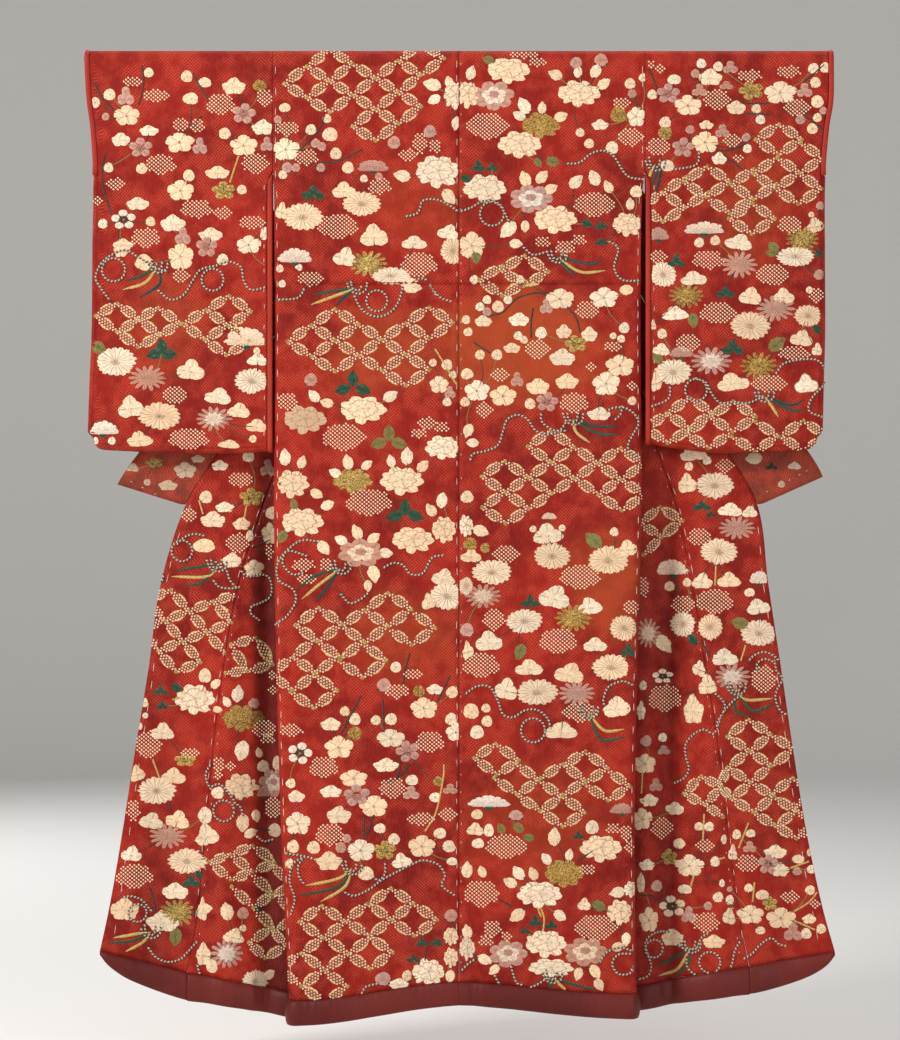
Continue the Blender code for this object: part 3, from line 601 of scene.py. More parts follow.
def sweptBody(name, rings, finish, measure):
    count = len(rings[0])
    points = [point for ring in rings for point in ring]
    uv = [(step, k / count * measure) for step in np.linspace(0, 1, len(rings)) for k in range(count)]
    faces = []
    for first in range(0, (len(rings) - 1) * count, count):
        for k in range(count):
            n = (k + 1) % count
            faces.append((first + k, first + n, first + count + n, first + count + k))
    faces += [tuple(reversed(range(count))), tuple((len(rings) - 1) * count + k for k in range(count))]
    return finishSheet(name, {"points": points, "uv": uv, "faces": faces}, [finish])


def edgeRoll(name, path, side, finish, thick, widths={}):
    rings = []
    for i, (x, y, z) in enumerate(path):
        before, after = path[max(i - 1, 0)], path[min(i + 1, len(path) - 1)]
        run = math.hypot(after[1] - before[1], after[2] - before[2])
        normal = ((after[2] - before[2]) / run, -(after[1] - before[1]) / run)
        ring, width = [], widths.get(z, sleeveCut["edgeRoll"])
        for k in range(12):
            angle = math.radians(30 * k + 15)
            bulge = 1 + 0.09 * noise.noise(Vector((x * 3 + k, y * 60, z * 60)))
            off = math.sin(angle) * thick / 2 * bulge
            across = x + math.cos(angle) * width / 2 * min(bulge, 1.0)
            ring.append((sides[side] * across, y + normal[0] * off, z + normal[1] * off))
        rings.append(ring)
    return sweptBody(name, rings, finish, 0.03)


def sleeveEdges(side, finish):
    ring, count = sleeveRing(side, 0.0)
    start, width = 0.215, sleeveCut["edgeRoll"]
    out = sleeveCut["free"] - 2 * garment["seam"] - width / 2
    back = [(out, y, z) for x, y, z in ring[-4:] + ring[:count] if z < -start]
    back.append((out, -sleeveGap(0.0, start), -start))
    narrowing = {}
    for down in (0.2095, 0.2045, 0.1995, 0.1955):  # the roll runs out where the sleeve meets the body
        edge = sleeveX(side, 0.0, down) - 0.0006
        narrowing[-down] = max(0.0012, edge - 0.3165)
        back.append((edge - narrowing[-down] / 2, -sleeveGap(0.0, down), -down))
    front = [(x, -y, z) for x, y, z in reversed(back[1:])]
    inner = edgeRoll(f"dressed_inner_edge_{side}", front + back, side, finish, sleeveCut["edgeThick"],
        narrowing)
    loop = [point for point in sleeveRing(side, 1.0)[0] if point[2] > -sleeveCut["cuff"] - 0.001]
    path = [(x + width / 2 + garment["seam"], y, z) for x, y, z in loop]
    for end in (0, -1):
        x, y, z = path[end]
        path[end] = (x + 0.0012, y, z + 0.0012)
    wrist = edgeRoll(f"dressed_wrist_edge_{side}", path, side, finish, sleeveCut["edgeThick"] * 0.9)
    return inner, wrist


hemProfile = [  # the roll's section: across and down, as shares of its width and height
    (-0.30, 0.0), (0.30, 0.0), (0.60, 0.09), (0.84, 0.24), (0.98, 0.44), (1.0, 0.62), (0.88, 0.82),
    (0.62, 0.96), (0.25, 1.0), (-0.25, 1.0), (-0.62, 0.96), (-0.88, 0.82), (-1.0, 0.62), (-0.98, 0.44),
    (-0.84, 0.24), (-0.60, 0.09),
]
hemCreases = {  # x in metres, half width, depth: where the padding is pinched
    "back": [(-0.268, 0.004, 0.20), (0.022, 0.006, 0.22), (0.038, 0.003, 0.12), (0.171, 0.003, 0.10)],
    "front": [(-0.455, 0.003, 0.16), (-0.288, 0.004, 0.2), (0.304, 0.005, 0.18), (0.350, 0.004, 0.2),
        (0.42, 0.006, 0.12)],
    "overlap": [(0.60, 0.004, 0.10), (-0.55, 0.004, 0.10)],
}


def hemRoll(part, row, heights, side, finish):
    rings, thick = [], 0.0155
    for i, (x, y, z) in enumerate(row):
        before, after = row[max(i - 1, 0)], row[min(i + 1, len(row) - 1)]
        run = math.hypot(after[0] - before[0], after[1] - before[1])
        across = (-(after[1] - before[1]) / run, (after[0] - before[0]) / run)
        if i in (0, len(row) - 1) and abs(across[0]) < 0.7:
            across = (0.0, 1.0)
        if i in (0, len(row) - 1):  # neighbouring lengths of the roll close up
            push = 0.00014 * (1 if i else -1) / run
            x, y = x + (after[0] - before[0]) * push, y + (after[1] - before[1]) * push
        pinch = sum(deep * math.exp(-((sides[side] * x - at) / halfWidth) ** 2)
                    for at, halfWidth, deep in hemCreases[part])
        wide = min(thick, heights[i] * 0.75) / 2 * (1 - pinch)
        ring = []
        for u, v in hemProfile:
            sway = 4 * noise.noise(Vector((x * 40, y * 60, 3)))
            gather = 1 + (1 - v) * 0.10 * math.sin(x * 520 + sway) * min(1.0, v * 8)
            u *= gather * (1 + 0.05 * noise.noise(Vector((x * 60, u, v * 3 + y * 40))))
            ring.append((sides[side] * (x + across[0] * u * wide), y + across[1] * u * wide,
                z - garment["seam"] - v * heights[i]))
        rings.append(ring)
    return sweptBody(f"dressed_hem_{part}_{side}", rings, finish, 0.09)


def hemRolls(side, finish):
    length = garment["length"]
    back, front = backRow(side, length), frontRow(side, length, 24, 16, 50)
    overlap = overlapRow(side, length, 34)
    seam, edge = outAt("seam", side, length), outAt("edge", side, length)
    back = [tuple(mix(a[c], b[c], k / 3) for c in range(3)) for a, b in zip(back, back[1:])
        for k in range(3)] + back[-1:]
    made = [hemRoll("back", back, [mix(0.040, 0.043, x / 0.3) for x, y, z in back], side, finish)]
    heights = [mix(0.043, 0.047, smooth(0.30, seam, x)) for x, y, z in front]
    made.append(hemRoll("front", front, heights, side, finish))
    heights = [0.047 * math.sqrt(max(0.02, 1 - ((x - seam) / (edge - seam)) ** 2.2)) for x, y, z in overlap]
    made.append(hemRoll("overlap", overlap, heights, side, finish))
    return made


# Materials: shared effects are node groups, which give colours, masks and values

def feed(tree, socket, value):
    if hasattr(value, "is_output"):
        tree.links.new(value, socket)
    else:
        socket.default_value = value


def addNode(tree, kind, inputs=None, **settings):
    node = tree.nodes.new(kind)
    for name, value in settings.items():
        setattr(node, name, value)
    for name, value in (inputs or {}).items():
        feed(tree, node.inputs[name], value)
    return node


def mathNode(tree, operation, *values):
    return addNode(tree, "ShaderNodeMath", dict(enumerate(values)), operation=operation).outputs[0]


def product(tree, first, second):
    return mathNode(tree, "MULTIPLY", first, second)


def mixColour(tree, factor, first, second, blend="MIX"):
    inputs = {0: factor, 6: first, 7: second}
    return addNode(tree, "ShaderNodeMix", inputs, data_type="RGBA", blend_type=blend).outputs[2]


def noiseNode(tree, vector, scale, detail=3.0, roughness=0.5):
    inputs = {"Vector": vector, "Scale": scale, "Detail": detail, "Roughness": roughness}
    return addNode(tree, "ShaderNodeTexNoise", inputs).outputs["Fac"]


def rangeNode(tree, value, low, high, toLow=0.0, toHigh=1.0):
    inputs = {"Value": value, "From Min": low, "From Max": high, "To Min": toLow, "To Max": toHigh}
    return addNode(tree, "ShaderNodeMapRange", inputs, interpolation_type="SMOOTHSTEP").outputs["Result"]


def axesOf(tree, vector):
    return addNode(tree, "ShaderNodeSeparateXYZ", {0: vector}).outputs


def stretched(tree, vector, scale):
    return addNode(tree, "ShaderNodeMapping", {"Vector": vector, "Scale": scale}).outputs[0]


def newGroup(name, inputs, outputs):
    group = bpy.data.node_groups.new(name, "ShaderNodeTree")
    for way, sockets in (("INPUT", inputs), ("OUTPUT", outputs)):
        for label, kind in sockets:
            group.interface.new_socket(name=label, in_out=way, socket_type=f"NodeSocket{kind}")
    return group, group.nodes.new("NodeGroupInput").outputs, group.nodes.new("NodeGroupOutput").inputs


def useGroup(tree, group, **values):
    return addNode(tree, "ShaderNodeGroup", values, node_tree=groups[group]).outputs


def fretGroup():  # key fret woven into the ground: diagonal squares whose strokes change direction
    inputs, outputs = [("Place", "Vector"), ("Repeat", "Float")], [("Fret", "Float"), ("Weave", "Float")]
    group, source, target = newGroup("Woven fret", inputs, outputs)
    turning = {"Vector": source["Place"], "Angle": math.radians(45)}
    turned = addNode(group, "ShaderNodeVectorRotate", turning, rotation_type="Z_AXIS")
    across = [mathNode(group, "DIVIDE", axis, source["Repeat"])
        for axis in axesOf(group, turned.outputs[0])[:2]]
    cells = [mathNode(group, "FLOOR", axis) for axis in across]
    odd = mathNode(group, "PINGPONG", mathNode(group, "ADD", *cells), 1.0)
    waves = [mathNode(group, "PINGPONG", product(group, axis, 3.0), 0.5) for axis in across]
    strokes = [rangeNode(group, wave, 0.19, 0.31) for wave in waves]
    both = addNode(group, "ShaderNodeMix", {0: odd, 2: strokes[0], 3: strokes[1]})
    feed(group, target["Fret"], both.outputs[0])
    threads = [mathNode(group, "PINGPONG", product(group, axis, 1500.0), 0.5)
               for axis in axesOf(group, source["Place"])[:2]]
    feed(group, target["Weave"], mathNode(group, "ADD", *threads))
    return group


def wearGroup():  # uneven age: slow drift of tone, small stains, and thin threads
    outputs = [("Drift", "Float"), ("Stain", "Float"), ("Slub", "Float")]
    group, source, target = newGroup("Wear", [("Place", "Vector")], outputs)
    feed(group, target["Drift"], noiseNode(group, source[0], 5.0, 4.0))
    feed(group, target["Stain"], rangeNode(group, noiseNode(group, source[0], 26.0, 5.0, 0.65), 0.55, 0.75))
    threads = stretched(group, source[0], (900.0, 900.0, 60.0))
    feed(group, target["Slub"], noiseNode(group, threads, 1.0, 2.0))
    return group


def spotGroup():  # one soft round or long spot of fading, flat to the viewer
    inputs = [("Place", "Vector"), ("Centre", "Vector"), ("Wide", "Float"), ("High", "Float")]
    group, source, target = newGroup("Faded spot", inputs, [("Mask", "Float")])
    away = addNode(group, "ShaderNodeVectorMath", {0: source["Place"], 1: source["Centre"]},
        operation="SUBTRACT")
    parts = axesOf(group, away.outputs[0])
    squares = [mathNode(group, "POWER", mathNode(group, "DIVIDE", parts[axis], source[size]), 2.0)
               for axis, size in ((0, "Wide"), (2, "High"))]
    reach = mathNode(group, "SQRT", mathNode(group, "ADD", *squares))
    uneven = mathNode(group, "SUBTRACT", noiseNode(group, source["Place"], 22.0, 4.0), 0.5)
    reach = mathNode(group, "ADD", reach, product(group, uneven, 0.9))
    feed(group, target["Mask"], rangeNode(group, reach, 1.0, 0.35))
    return group


groups = {"fret": fretGroup(), "wear": wearGroup(), "spot": spotGroup()}
fadedSpots = [  # x and z in metres, half width and half height, strength
    (0.10, -0.49, 0.20, 0.13, 0.75), (-0.13, -0.50, 0.13, 0.10, 0.45), (0.25, -0.89, 0.09, 0.12, 0.6),
    (-0.06, -0.25, 0.10, 0.10, 0.25), (-0.10, -0.98, 0.14, 0.10, 0.35), (0.50, -0.25, 0.10, 0.14, 0.3),
    (-0.50, -0.45, 0.10, 0.12, 0.3), (0.12, -1.30, 0.16, 0.14, 0.25),
]


def newMaterial(name, sockets):
    made = bpy.data.materials.new(name)
    made.use_nodes = True
    tree = made.node_tree
    shader = tree.nodes["Principled BSDF"].inputs
    for label, value in sockets.items():
        shader[label].default_value = value
    return made, tree, shader


def clothMaterial(name, sockets):
    made, tree, shader = newMaterial(name, sockets)
    return made, tree, shader, addNode(tree, "ShaderNodeTexCoord").outputs["Object"]


def bumpInto(tree, shader, height, distance, before=None):
    inputs = {"Height": height, "Distance": distance, "Strength": 1.0}
    if before:
        inputs["Normal"] = before
    raised = addNode(tree, "ShaderNodeBump", inputs).outputs[0]
    feed(tree, shader["Normal"], raised)
    return raised


silkLook = {
    "repeat": 0.0120,  # of the woven fret, in metres
    # the fret colour paints the woven figure lighter as a sheen; the valley colour is painted shade for the
    # front valleys
    "fret": (0.62, 0.062, 0.030, 1), "stain": (0.22, 0.03, 0.025, 1), "valleyShade": (0.06, 0.004, 0.005, 1),
    "slub": (0.8, 0.35, 0.24, 1), "fretHeight": 0.00016, "weaveHeight": 0.00012,
}


def figuredSilk(name, deep, pale, faded, fade=1.0):
    made, tree, shader, place = clothMaterial(name, {
        "Sheen Weight": 0.02, "Sheen Roughness": 0.4, "Sheen Tint": (1.0, 0.55, 0.45, 1),
        "Specular IOR Level": 0.12})
    cloth, paintedFoldShade = [addNode(tree, "ShaderNodeUVMap", uv_map=layer).outputs[0]
        for layer in ("cloth", "paintedFoldShade")]
    fret = useGroup(tree, "fret", Place=cloth, Repeat=silkLook["repeat"])
    wear = useGroup(tree, "wear", Place=place)
    tone = mixColour(tree, rangeNode(tree, wear["Drift"], 0.3, 0.7), deep, pale)
    # painted sheen: the woven fret is painted lighter in soft patches
    fretSheenMask = product(tree, fret["Fret"], rangeNode(tree, noiseNode(tree, place, 38.0, 4.0), 0.36, 0.66))
    tone = mixColour(tree, product(tree, fretSheenMask, 0.72), tone, silkLook["fret"])
    tone = mixColour(tree, product(tree, wear["Stain"], 0.22), tone, silkLook["stain"])
    total = None
    for x, z, wide, high, strength in fadedSpots:
        spot = useGroup(tree, "spot", Place=place, Centre=(x, 0, z), Wide=wide, High=high)
        part = product(tree, spot[0], strength * fade)
        total = mathNode(tree, "MAXIMUM", total, part) if total else part
    tone = mixColour(tree, total, tone, faded)
    # painted shade: darker red in the fold valleys and beside the back panel
    tone = mixColour(tree, product(tree, axesOf(tree, paintedFoldShade)[0], 0.70), tone, silkLook["valleyShade"])
    slub = product(tree, rangeNode(tree, wear["Slub"], 0.35, 0.75), 0.04)
    feed(tree, shader["Base Color"], mixColour(tree, slub, tone, silkLook["slub"]))
    feed(tree, shader["Roughness"], mathNode(tree, "SUBTRACT", 0.62, product(tree, fret["Fret"], 0.14)))
    weave = bumpInto(tree, shader, fret["Weave"], silkLook["weaveHeight"])
    bumpInto(tree, shader, fret["Fret"], silkLook["fretHeight"], weave)
    return made


def liningSilk(name, deep, pale):
    sockets = {"Roughness": 0.5, "Sheen Weight": 0.03, "Specular IOR Level": 0.22}
    made, tree, shader, place = clothMaterial(name, sockets)
    wear = useGroup(tree, "wear", Place=place)
    tone = mixColour(tree, rangeNode(tree, wear["Drift"], 0.3, 0.7), deep, pale)
    tone = mixColour(tree, product(tree, wear["Stain"], 0.3), tone, (0.20, 0.02, 0.02, 1))
    feed(tree, shader["Base Color"], tone)
    bumpInto(tree, shader, noiseNode(tree, place, 420.0, 3.0), 0.0003)
    return made


def oiledWood(name):
    made, tree, shader, place = clothMaterial(name, {"Roughness": 0.45})
    streak = noiseNode(tree, stretched(tree, place, (5.0, 120.0, 120.0)), 1.0, 5.0)
    dark, light = (0.16, 0.085, 0.045, 1), (0.38, 0.23, 0.12, 1)
    feed(tree, shader["Base Color"], mixColour(tree, rangeNode(tree, streak, 0.35, 0.7), dark, light))
    bumpInto(tree, shader, streak, 0.0004)
    return made


finishes = {
    "silk": figuredSilk("red figured silk", (0.19, 0.0045, 0.0027, 1), (0.305, 0.010, 0.0043, 1),
        (0.41, 0.060, 0.013, 1)),
    "collarSilk": figuredSilk("collar silk", (0.17, 0.028, 0.016, 1), (0.24, 0.040, 0.022, 1),
        (0.30, 0.07, 0.04, 1), 0.5),
    "lining": liningSilk("red lining", (0.30, 0.014, 0.008, 1), (0.42, 0.030, 0.012, 1)),
    "hem": liningSilk("padded hem silk", (0.095, 0.0085, 0.007, 1), (0.155, 0.016, 0.012, 1)),
    "wood": oiledWood("oiled wood"),
}

# Cloth pieces in the solids' places
pieces = {}
for side in sides:
    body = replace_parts(bodyPanel(side, [finishes["silk"], finishes["lining"]]),
        f"body_panel_{side}")
    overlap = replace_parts(overlapPanel(side, [finishes["silk"], finishes["lining"]]),
        f"overlap_panel_{side}")
    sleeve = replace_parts(sleevePiece(side, [finishes["silk"], finishes["lining"]]),
        f"sleeve_{side}")
    pieces.update({f"body_{side}": body, f"overlap_{side}": overlap, f"sleeve_{side}": sleeve})
    inner, wrist = sleeveEdges(side, finishes["lining"])
    rolls = [(inner, f"sleeve_inner_edge_{side}"), (wrist, f"wrist_edge_{side}")]
    rolls += zip(hemRolls(side, finishes["hem"]),
        [f"hem_roll_{part}_{side}" for part in ("back", "front", "overlap")])
    for roll, node in rolls:
        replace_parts(roll, node)
        pieces[node] = roll
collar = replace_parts(collarBand([finishes["collarSilk"], finishes["lining"]]), "collar")
pieces["collar"] = collar
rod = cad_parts["rod"]
rod.data.materials.clear()
rod.data.materials.append(finishes["wood"])
for piece in pieces.values():
    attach(piece, "root")
print("cloth in place")

# Motifs: flat shapes in the picture plane, dropped onto the dressed cloth. Chart places are photo pixels
photo = {"metre": 0.0017, "centreX": 459.0, "shoulderY": 50.0, "shoulderZ": 0.0145}


def toPlane(x, y):
    down = (y - photo["shoulderY"]) * photo["metre"]
    return (x - photo["centreX"]) * photo["metre"], photo["shoulderZ"] - down


class Ground:  # the faces of the cloth that a chart is dropped onto
    def __init__(self, names, way=1, keep=lambda centre: True):
        points, faces = [], []
        graph = bpy.context.evaluated_depsgraph_get()
        for name in names:
            mesh, first = pieces[name].evaluated_get(graph).to_mesh(), len(points)
            points += [vert.co.copy() for vert in mesh.vertices]
            faces += [[first + c for c in face.vertices] for face in mesh.polygons if keep(face.center)]
        self.tree, self.way = BVHTree.FromPolygons(points, faces), way

    def drop(self, x, z):
        place, normal, _, _ = self.tree.ray_cast(Vector((x, -0.5 * self.way, z)), Vector((0, self.way, 0)))
        if place is None or normal.y * self.way > -0.25:
            return None
        return place, normal

    def clamp(self, x, z, middle):
        found = self.drop(x, z)
        if found:
            return found, False
        inside, outside = 0.0, 1.0
        for _ in range(6):
            half = (inside + outside) / 2
            if self.drop(mix(middle[0], x, half), mix(middle[1], z, half)):
                inside = half
            else:
                outside = half
        return self.drop(mix(middle[0], x, inside * 0.98), mix(middle[1], z, inside * 0.98)), True


class Work:  # one mesh of embroidery, with a finish for each face and a tint for each point
    def __init__(self, ground):
        self.ground, self.points, self.faces = ground, [], []
        self.finish, self.tint, self.pattern, self.cut = [], [], [], []
        self.dots, self.cords, self.petals, self.knots = [], [], [], []
        self.fade, self.wobble = 1.0, 0

    def point(self, x, z, height, tint, pattern, middle):
        found, cut = self.ground.clamp(x, z, middle)
        if found is None:
            return None
        place, normal = found
        self.points.append(place + normal * (-0.0002 if cut else height))
        # painted shade: needlework in the fold valleys is darkened like the cloth
        shade = 1 - 0.36 * (foldShade(place) if self.ground.way > 0 else 0.0)
        self.tint.append(tuple(c * shade for c in tint[:3]) + tint[3:])
        self.pattern.append(pattern)
        self.cut.append(cut)
        return len(self.points) - 1

    def face(self, corners, finish):
        if None not in corners and not all(self.cut[c] for c in corners):
            self.faces.append(corners)
            self.finish.append(finish)


# A padded patch of stitches: rings of points from the middle out to radius(angle)
def patch(work, middle, radius, rings, steps, tint, finish, petals=5.0, turn=0.0, height=0.0005, base=0.0):
    if work.ground.drop(*middle) is None:
        return
    tint = tint[:3] + (2 * math.pi * radius(0)[0] / petals * 20,)  # a petal's width, for its drawn lines
    centre = work.point(*middle, base + height * 0.6, tint, (0.0, 0.0), middle)
    before = None
    for ring in range(1, rings + 1):
        share, row = ring / rings, []
        for k in range(steps):
            angle = 2 * math.pi * k / steps
            spot = Vector((math.cos(angle) * 2.2, math.sin(angle) * 2.2, work.wobble * 1.7))
            uneven = 1 + 0.10 * noise.noise(spot)
            reach = [part * uneven for part in radius(angle)]
            groove = abs(math.sin(angle * petals / 2)) ** 0.5
            raised = height * (0.45 + 0.55 * groove) * (1 - share ** 3)
            lift = base + (-0.00025 if ring == rings else raised)
            c, s = math.cos(angle + turn), math.sin(angle + turn)
            x, z = middle[0] + c * reach[0] * share, middle[1] + s * reach[1] * share
            row.append(work.point(x, z, lift, tint, (k / steps * petals, share), middle))
        for k in range(steps):
            n = (k + 1) % steps
            if before:
                work.face((before[k], row[k], row[n], before[n]), finish)
            else:
                work.face((centre, row[k], row[n]), finish)
        before = row


def petalled(count, width, height, depth=0.13, sharp=0.6, start=0.0):
    def radius(angle):
        lobe = abs(math.cos((angle - start) * count / 2)) ** sharp
        r = 1 - depth + depth * lobe
        return r * width, r * height
    return radius


def lobes(table, width, height):  # an outline through radii at even angles, for leaves and side views
    def radius(angle):
        at = angle / (2 * math.pi) * len(table)
        i = int(at) % len(table)
        t = at - int(at)
        r = mix(table[i], table[(i + 1) % len(table)], t * t * (3 - 2 * t))
        return r * width, r * height
    return radius


tints = {
    "cream": (0.92, 0.77, 0.57, 1), "white": (0.97, 0.82, 0.68, 1), "pink": (0.62, 0.35, 0.28, 1),
    "rose": (0.52, 0.20, 0.17, 1), "gold": (0.52, 0.34, 0.09, 1), "olive": (0.22, 0.20, 0.055, 1),
    "green": (0.016, 0.080, 0.040, 1), "deepGreen": (0.010, 0.055, 0.045, 1), "faded": (0.62, 0.44, 0.28, 1),
    "yellow": (0.64, 0.46, 0.14, 1), "ring": (0.50, 0.19, 0.075, 1), "edging": (0.74, 0.52, 0.22, 1),
    "between": (0.38, 0.085, 0.04, 1), "brown": (0.10, 0.035, 0.02, 1), "stem": (0.035, 0.040, 0.025, 1),
}
leafShapes = {  # radii at even steps round the shape, from its right; a blade's tip points right
    "blade": [1.35, 0.95, 0.84, 0.68, 0.68, 0.60, 0.66, 0.66, 0.78, 0.66, 0.66, 0.60, 0.68, 0.68, 0.84,
        0.95],
    "leaf3": [1.0, 0.86, 0.70, 0.92, 1.15, 0.92, 0.70, 0.86, 1.0, 0.95, 0.80, 0.62, 0.55, 0.62, 0.80, 0.95],
    "half": [1.0, 0.95, 1.0, 0.95, 1.0, 0.95, 1.0, 0.95, 1.0, 0.35, 0.25, 0.22, 0.2, 0.22, 0.25, 0.35],
    "cloud": [0.98, 1.0, 0.80, 0.92, 1.15, 0.92, 0.80, 1.0, 0.98, 0.80, 0.86, 0.72, 0.62, 0.72, 0.86, 0.80],
    "peony": [1.02, 0.9, 0.98, 0.82, 1.0, 0.96, 0.8, 1.02, 1.05, 0.84, 1.0, 0.92, 1.02, 0.96, 0.86, 0.98,
        0.7, 0.95, 1.0, 0.72, 0.98, 1.0, 0.76, 0.96],
}


def lineRing(work, middle, size, tint, turn=0.0):  # stamens and centres, flat couched threads
    patch(work, middle, lambda angle: (size, size), 2, 10, tint, gold, 1.0, turn, 0.0009)


def bloom(work, kind, x, y, wide, high, seed, lean=None):  # one flower, bud or leaf of the charts
    grown = 0.57 * photo["metre"]  # the rim lies under the cloth's face, so a little more than half
    taller = 1.35 if kind in ("cloud", "leaf3") and high < 0.6 * wide else 1.0
    middle, w, h = toPlane(x, y), wide * grown, high * grown * taller
    rand = random.Random(seed)
    work.wobble = seed
    turn, vary, warm = rand.uniform(-0.3, 0.3), rand.uniform(0.88, 1.06), rand.uniform(0.0, 0.14)
    shade = lambda name: tuple(c * vary * work.fade * (1 - warm * part) for part,
        c in enumerate(tints[name][:3])) + (1,)
    up = math.pi / 2
    at = lambda angle, far: (middle[0] + math.cos(angle) * w * far, middle[1] + math.sin(angle) * h * far)
    if kind == "plum":
        patch(work, middle, petalled(5, w, h, 0.26, 0.5, up), 4, 40, shade("cream"), ink, 5, 0, 0.0009)
        lineRing(work, middle, w * 0.17, tints["faded"], turn)
    elif kind in ("whitePlum", "pinkPlum", "goldPlum"):  # petals worked one by one, with an outline
        tint, finish, under = {"whitePlum": ("white", ink, "brown"), "pinkPlum": ("pink", satin, "rose"),
            "goldPlum": ("yellow", gold, "gold")}[kind]
        patch(work, middle, petalled(5, w * 0.94, h * 0.94, 0.24, 0.5, up + turn), 2, 30, tints[under],
            satin if under != "gold" else gold, 5, 0, 0.0003)
        for k in range(5):
            angle = up + turn + k * 1.2566
            patch(work, at(angle, 0.57), petalled(1, w * 0.35, h * 0.35, 0.05), 3, 14, shade(tint), finish,
                2, angle, 0.0012)
        patch(work, middle, petalled(5, w * 0.16, h * 0.16, 0.2), 1, 10, tints["yellow"], gold, 5, 0,
            0.0016)
    elif kind == "cloud":
        patch(work, middle, lobes(leafShapes["cloud"], w, h), 3, 32, shade("cream"), ink, 4, 0, 0.0007)
        patch(work, at(up, 0.05), lobes(leafShapes["cloud"], w * 0.5, h * 0.45), 2, 24, shade("cream"), ink,
            3, 0, 0.0007, 0.0006)
    elif kind in ("bud", "pinkBud", "goldBud"):
        tint, finish = {"bud": ("cream", ink), "pinkBud": ("pink", satin), "goldBud": ("gold", gold)}[kind]
        patch(work, middle, petalled(3, w, h, 0.08, 1, up), 3, 16, shade(tint), finish, 3, turn, 0.0008)
        if kind == "bud" and w > 0.009:
            patch(work, middle, petalled(3, w * 0.5, h * 0.5, 0.08, 1, up), 2, 12, shade(tint), ink, 3,
                turn + 1, 0.0006, 0.0006)
        if kind == "pinkBud":
            for lean in (-0.9, 0.0, 0.9):
                patch(work, at(-up + lean, 0.85), lobes(leafShapes["blade"], w * 0.3, w * 0.3), 1, 10,
                    tints["deepGreen"], satin, 2, -up + lean, 0.0008)
    elif kind == "pink3":
        for angle in (up, up + 2.2, up - 2.2):
            patch(work, at(angle, 0.48), petalled(1, w * 0.5, h * 0.58, 0.1), 3, 14, shade("pink"), satin,
                2, turn, 0.0009)
    elif kind == "chrys":
        patch(work, middle, petalled(18, w, h, 0.24, 0.7), 4, 90, shade("cream"), ink, 18, turn, 0.0009)
        lineRing(work, middle, w * 0.12, tints["faded"])
    elif kind in ("spiky", "goldSpiky"):
        tint, finish = ("pink", satin) if kind == "spiky" else ("gold", gold)
        patch(work, middle, petalled(14, w * 0.8, h * 0.8, 0.2, 0.9), 2, 42,
            tints["ring" if kind == "spiky" else "olive"], satin, 14, 0, 0.0003)
        patch(work, middle, petalled(14, w, h, 0.56, 0.9), 4, 84, shade(tint), finish, 14, 0, 0.0012)
        patch(work, middle, petalled(10, w * 0.55, h * 0.55, 0.4, 0.9), 3, 50,
            shade(("white" if seed % 2 else "pink") if kind == "spiky" else "yellow"), finish, 10, 0.2,
            0.0010, 0.0008)
        lineRing(work, middle, w * 0.1, shade("rose" if kind == "spiky" else "olive"))
    elif kind in ("half", "halfPink"):
        foot = (middle[0], middle[1] - h * 0.5)
        patch(work, foot, lobes(leafShapes["half"], w, h * 1.4), 3, 48,
            shade("white" if kind == "half" else "pink"), satin, 16, 0, 0.0010)
        patch(work, (foot[0], foot[1] - h * 0.25), petalled(3, w * 0.26, h * 0.4), 2, 10, tints["green"],
            satin, 3, 0, 0.0008)
    elif kind in ("peony", "pinkPeony", "goldPeony", "ringPeony"):
        tint, finish = {"peony": ("cream", ink), "pinkPeony": ("pink", satin), "goldPeony": ("gold", gold),
            "ringPeony": ("faded", ink)}[kind]
        if kind == "pinkPeony":
            for k in range(7):
                patch(work, at(k * 0.8976 + turn, 0.66), petalled(1, w * 0.34, h * 0.36, 0.05), 3, 14,
                    shade(tint), satin, 2, k * 0.8976, 0.0010)
            for k in range(5):
                patch(work, at(k * 1.2566 + 0.4, 0.34), petalled(1, w * 0.25, h * 0.27, 0.05), 2, 12,
                    shade("white"), satin, 2, k * 1.2566, 0.0010, 0.0009)
        else:
            patch(work, middle, lobes(leafShapes["peony"], w, h), 4, 60, shade(tint), finish, 6, 0, 0.0008)
            patch(work, at(up, 0.08), lobes(leafShapes["peony"][5:] + leafShapes["peony"][:5], w * 0.62,
                h * 0.6), 3, 44, shade(tint), finish, 5, 0, 0.0007, 0.0009)
        centre = {"pinkPeony": "pink", "goldPeony": "yellow"}.get(kind, tint)
        patch(work, at(up, 0.1), petalled(5, w * 0.26, h * 0.26, 0.2, 0.6), 2, 20, shade(centre), finish, 5,
            0, 0.0007, 0.0017)
    elif kind in ("greenTriple", "oliveTriple"):
        for angle in (up, up + 1.9, up - 1.9):
            leaf(work, at(angle, 0.55), w * 0.46, angle,
                shade("green" if kind == "greenTriple" else "olive"), satin)
    elif kind == "outlineLeaf":
        patch(work, middle, lobes(leafShapes["leaf3"], w, h), 3, 32, tints["brown"], satin, 3, turn, 0.0005)
        patch(work, middle, lobes(leafShapes["leaf3"], w * 0.8, h * 0.8), 3, 32, shade("cream"), ink, 3,
            turn, 0.0006, 0.0006)
    elif kind == "leaf3":
        patch(work, middle, lobes(leafShapes["leaf3"], w, h), 3, 32, shade("cream"), ink, 4, turn, 0.0007)
    elif kind == "greenLeaf" and w > 0.011:
        for angle in (up, up + 1.75, up - 1.75):
            leaf(work, at(angle, 0.42), (w + h) * 0.26, angle + turn, shade("green"), satin)
    else:
        tint, finish = {"greenLeaf": ("green", satin), "oliveLeaf": ("olive", satin)}.get(kind,
            ("cream", ink))
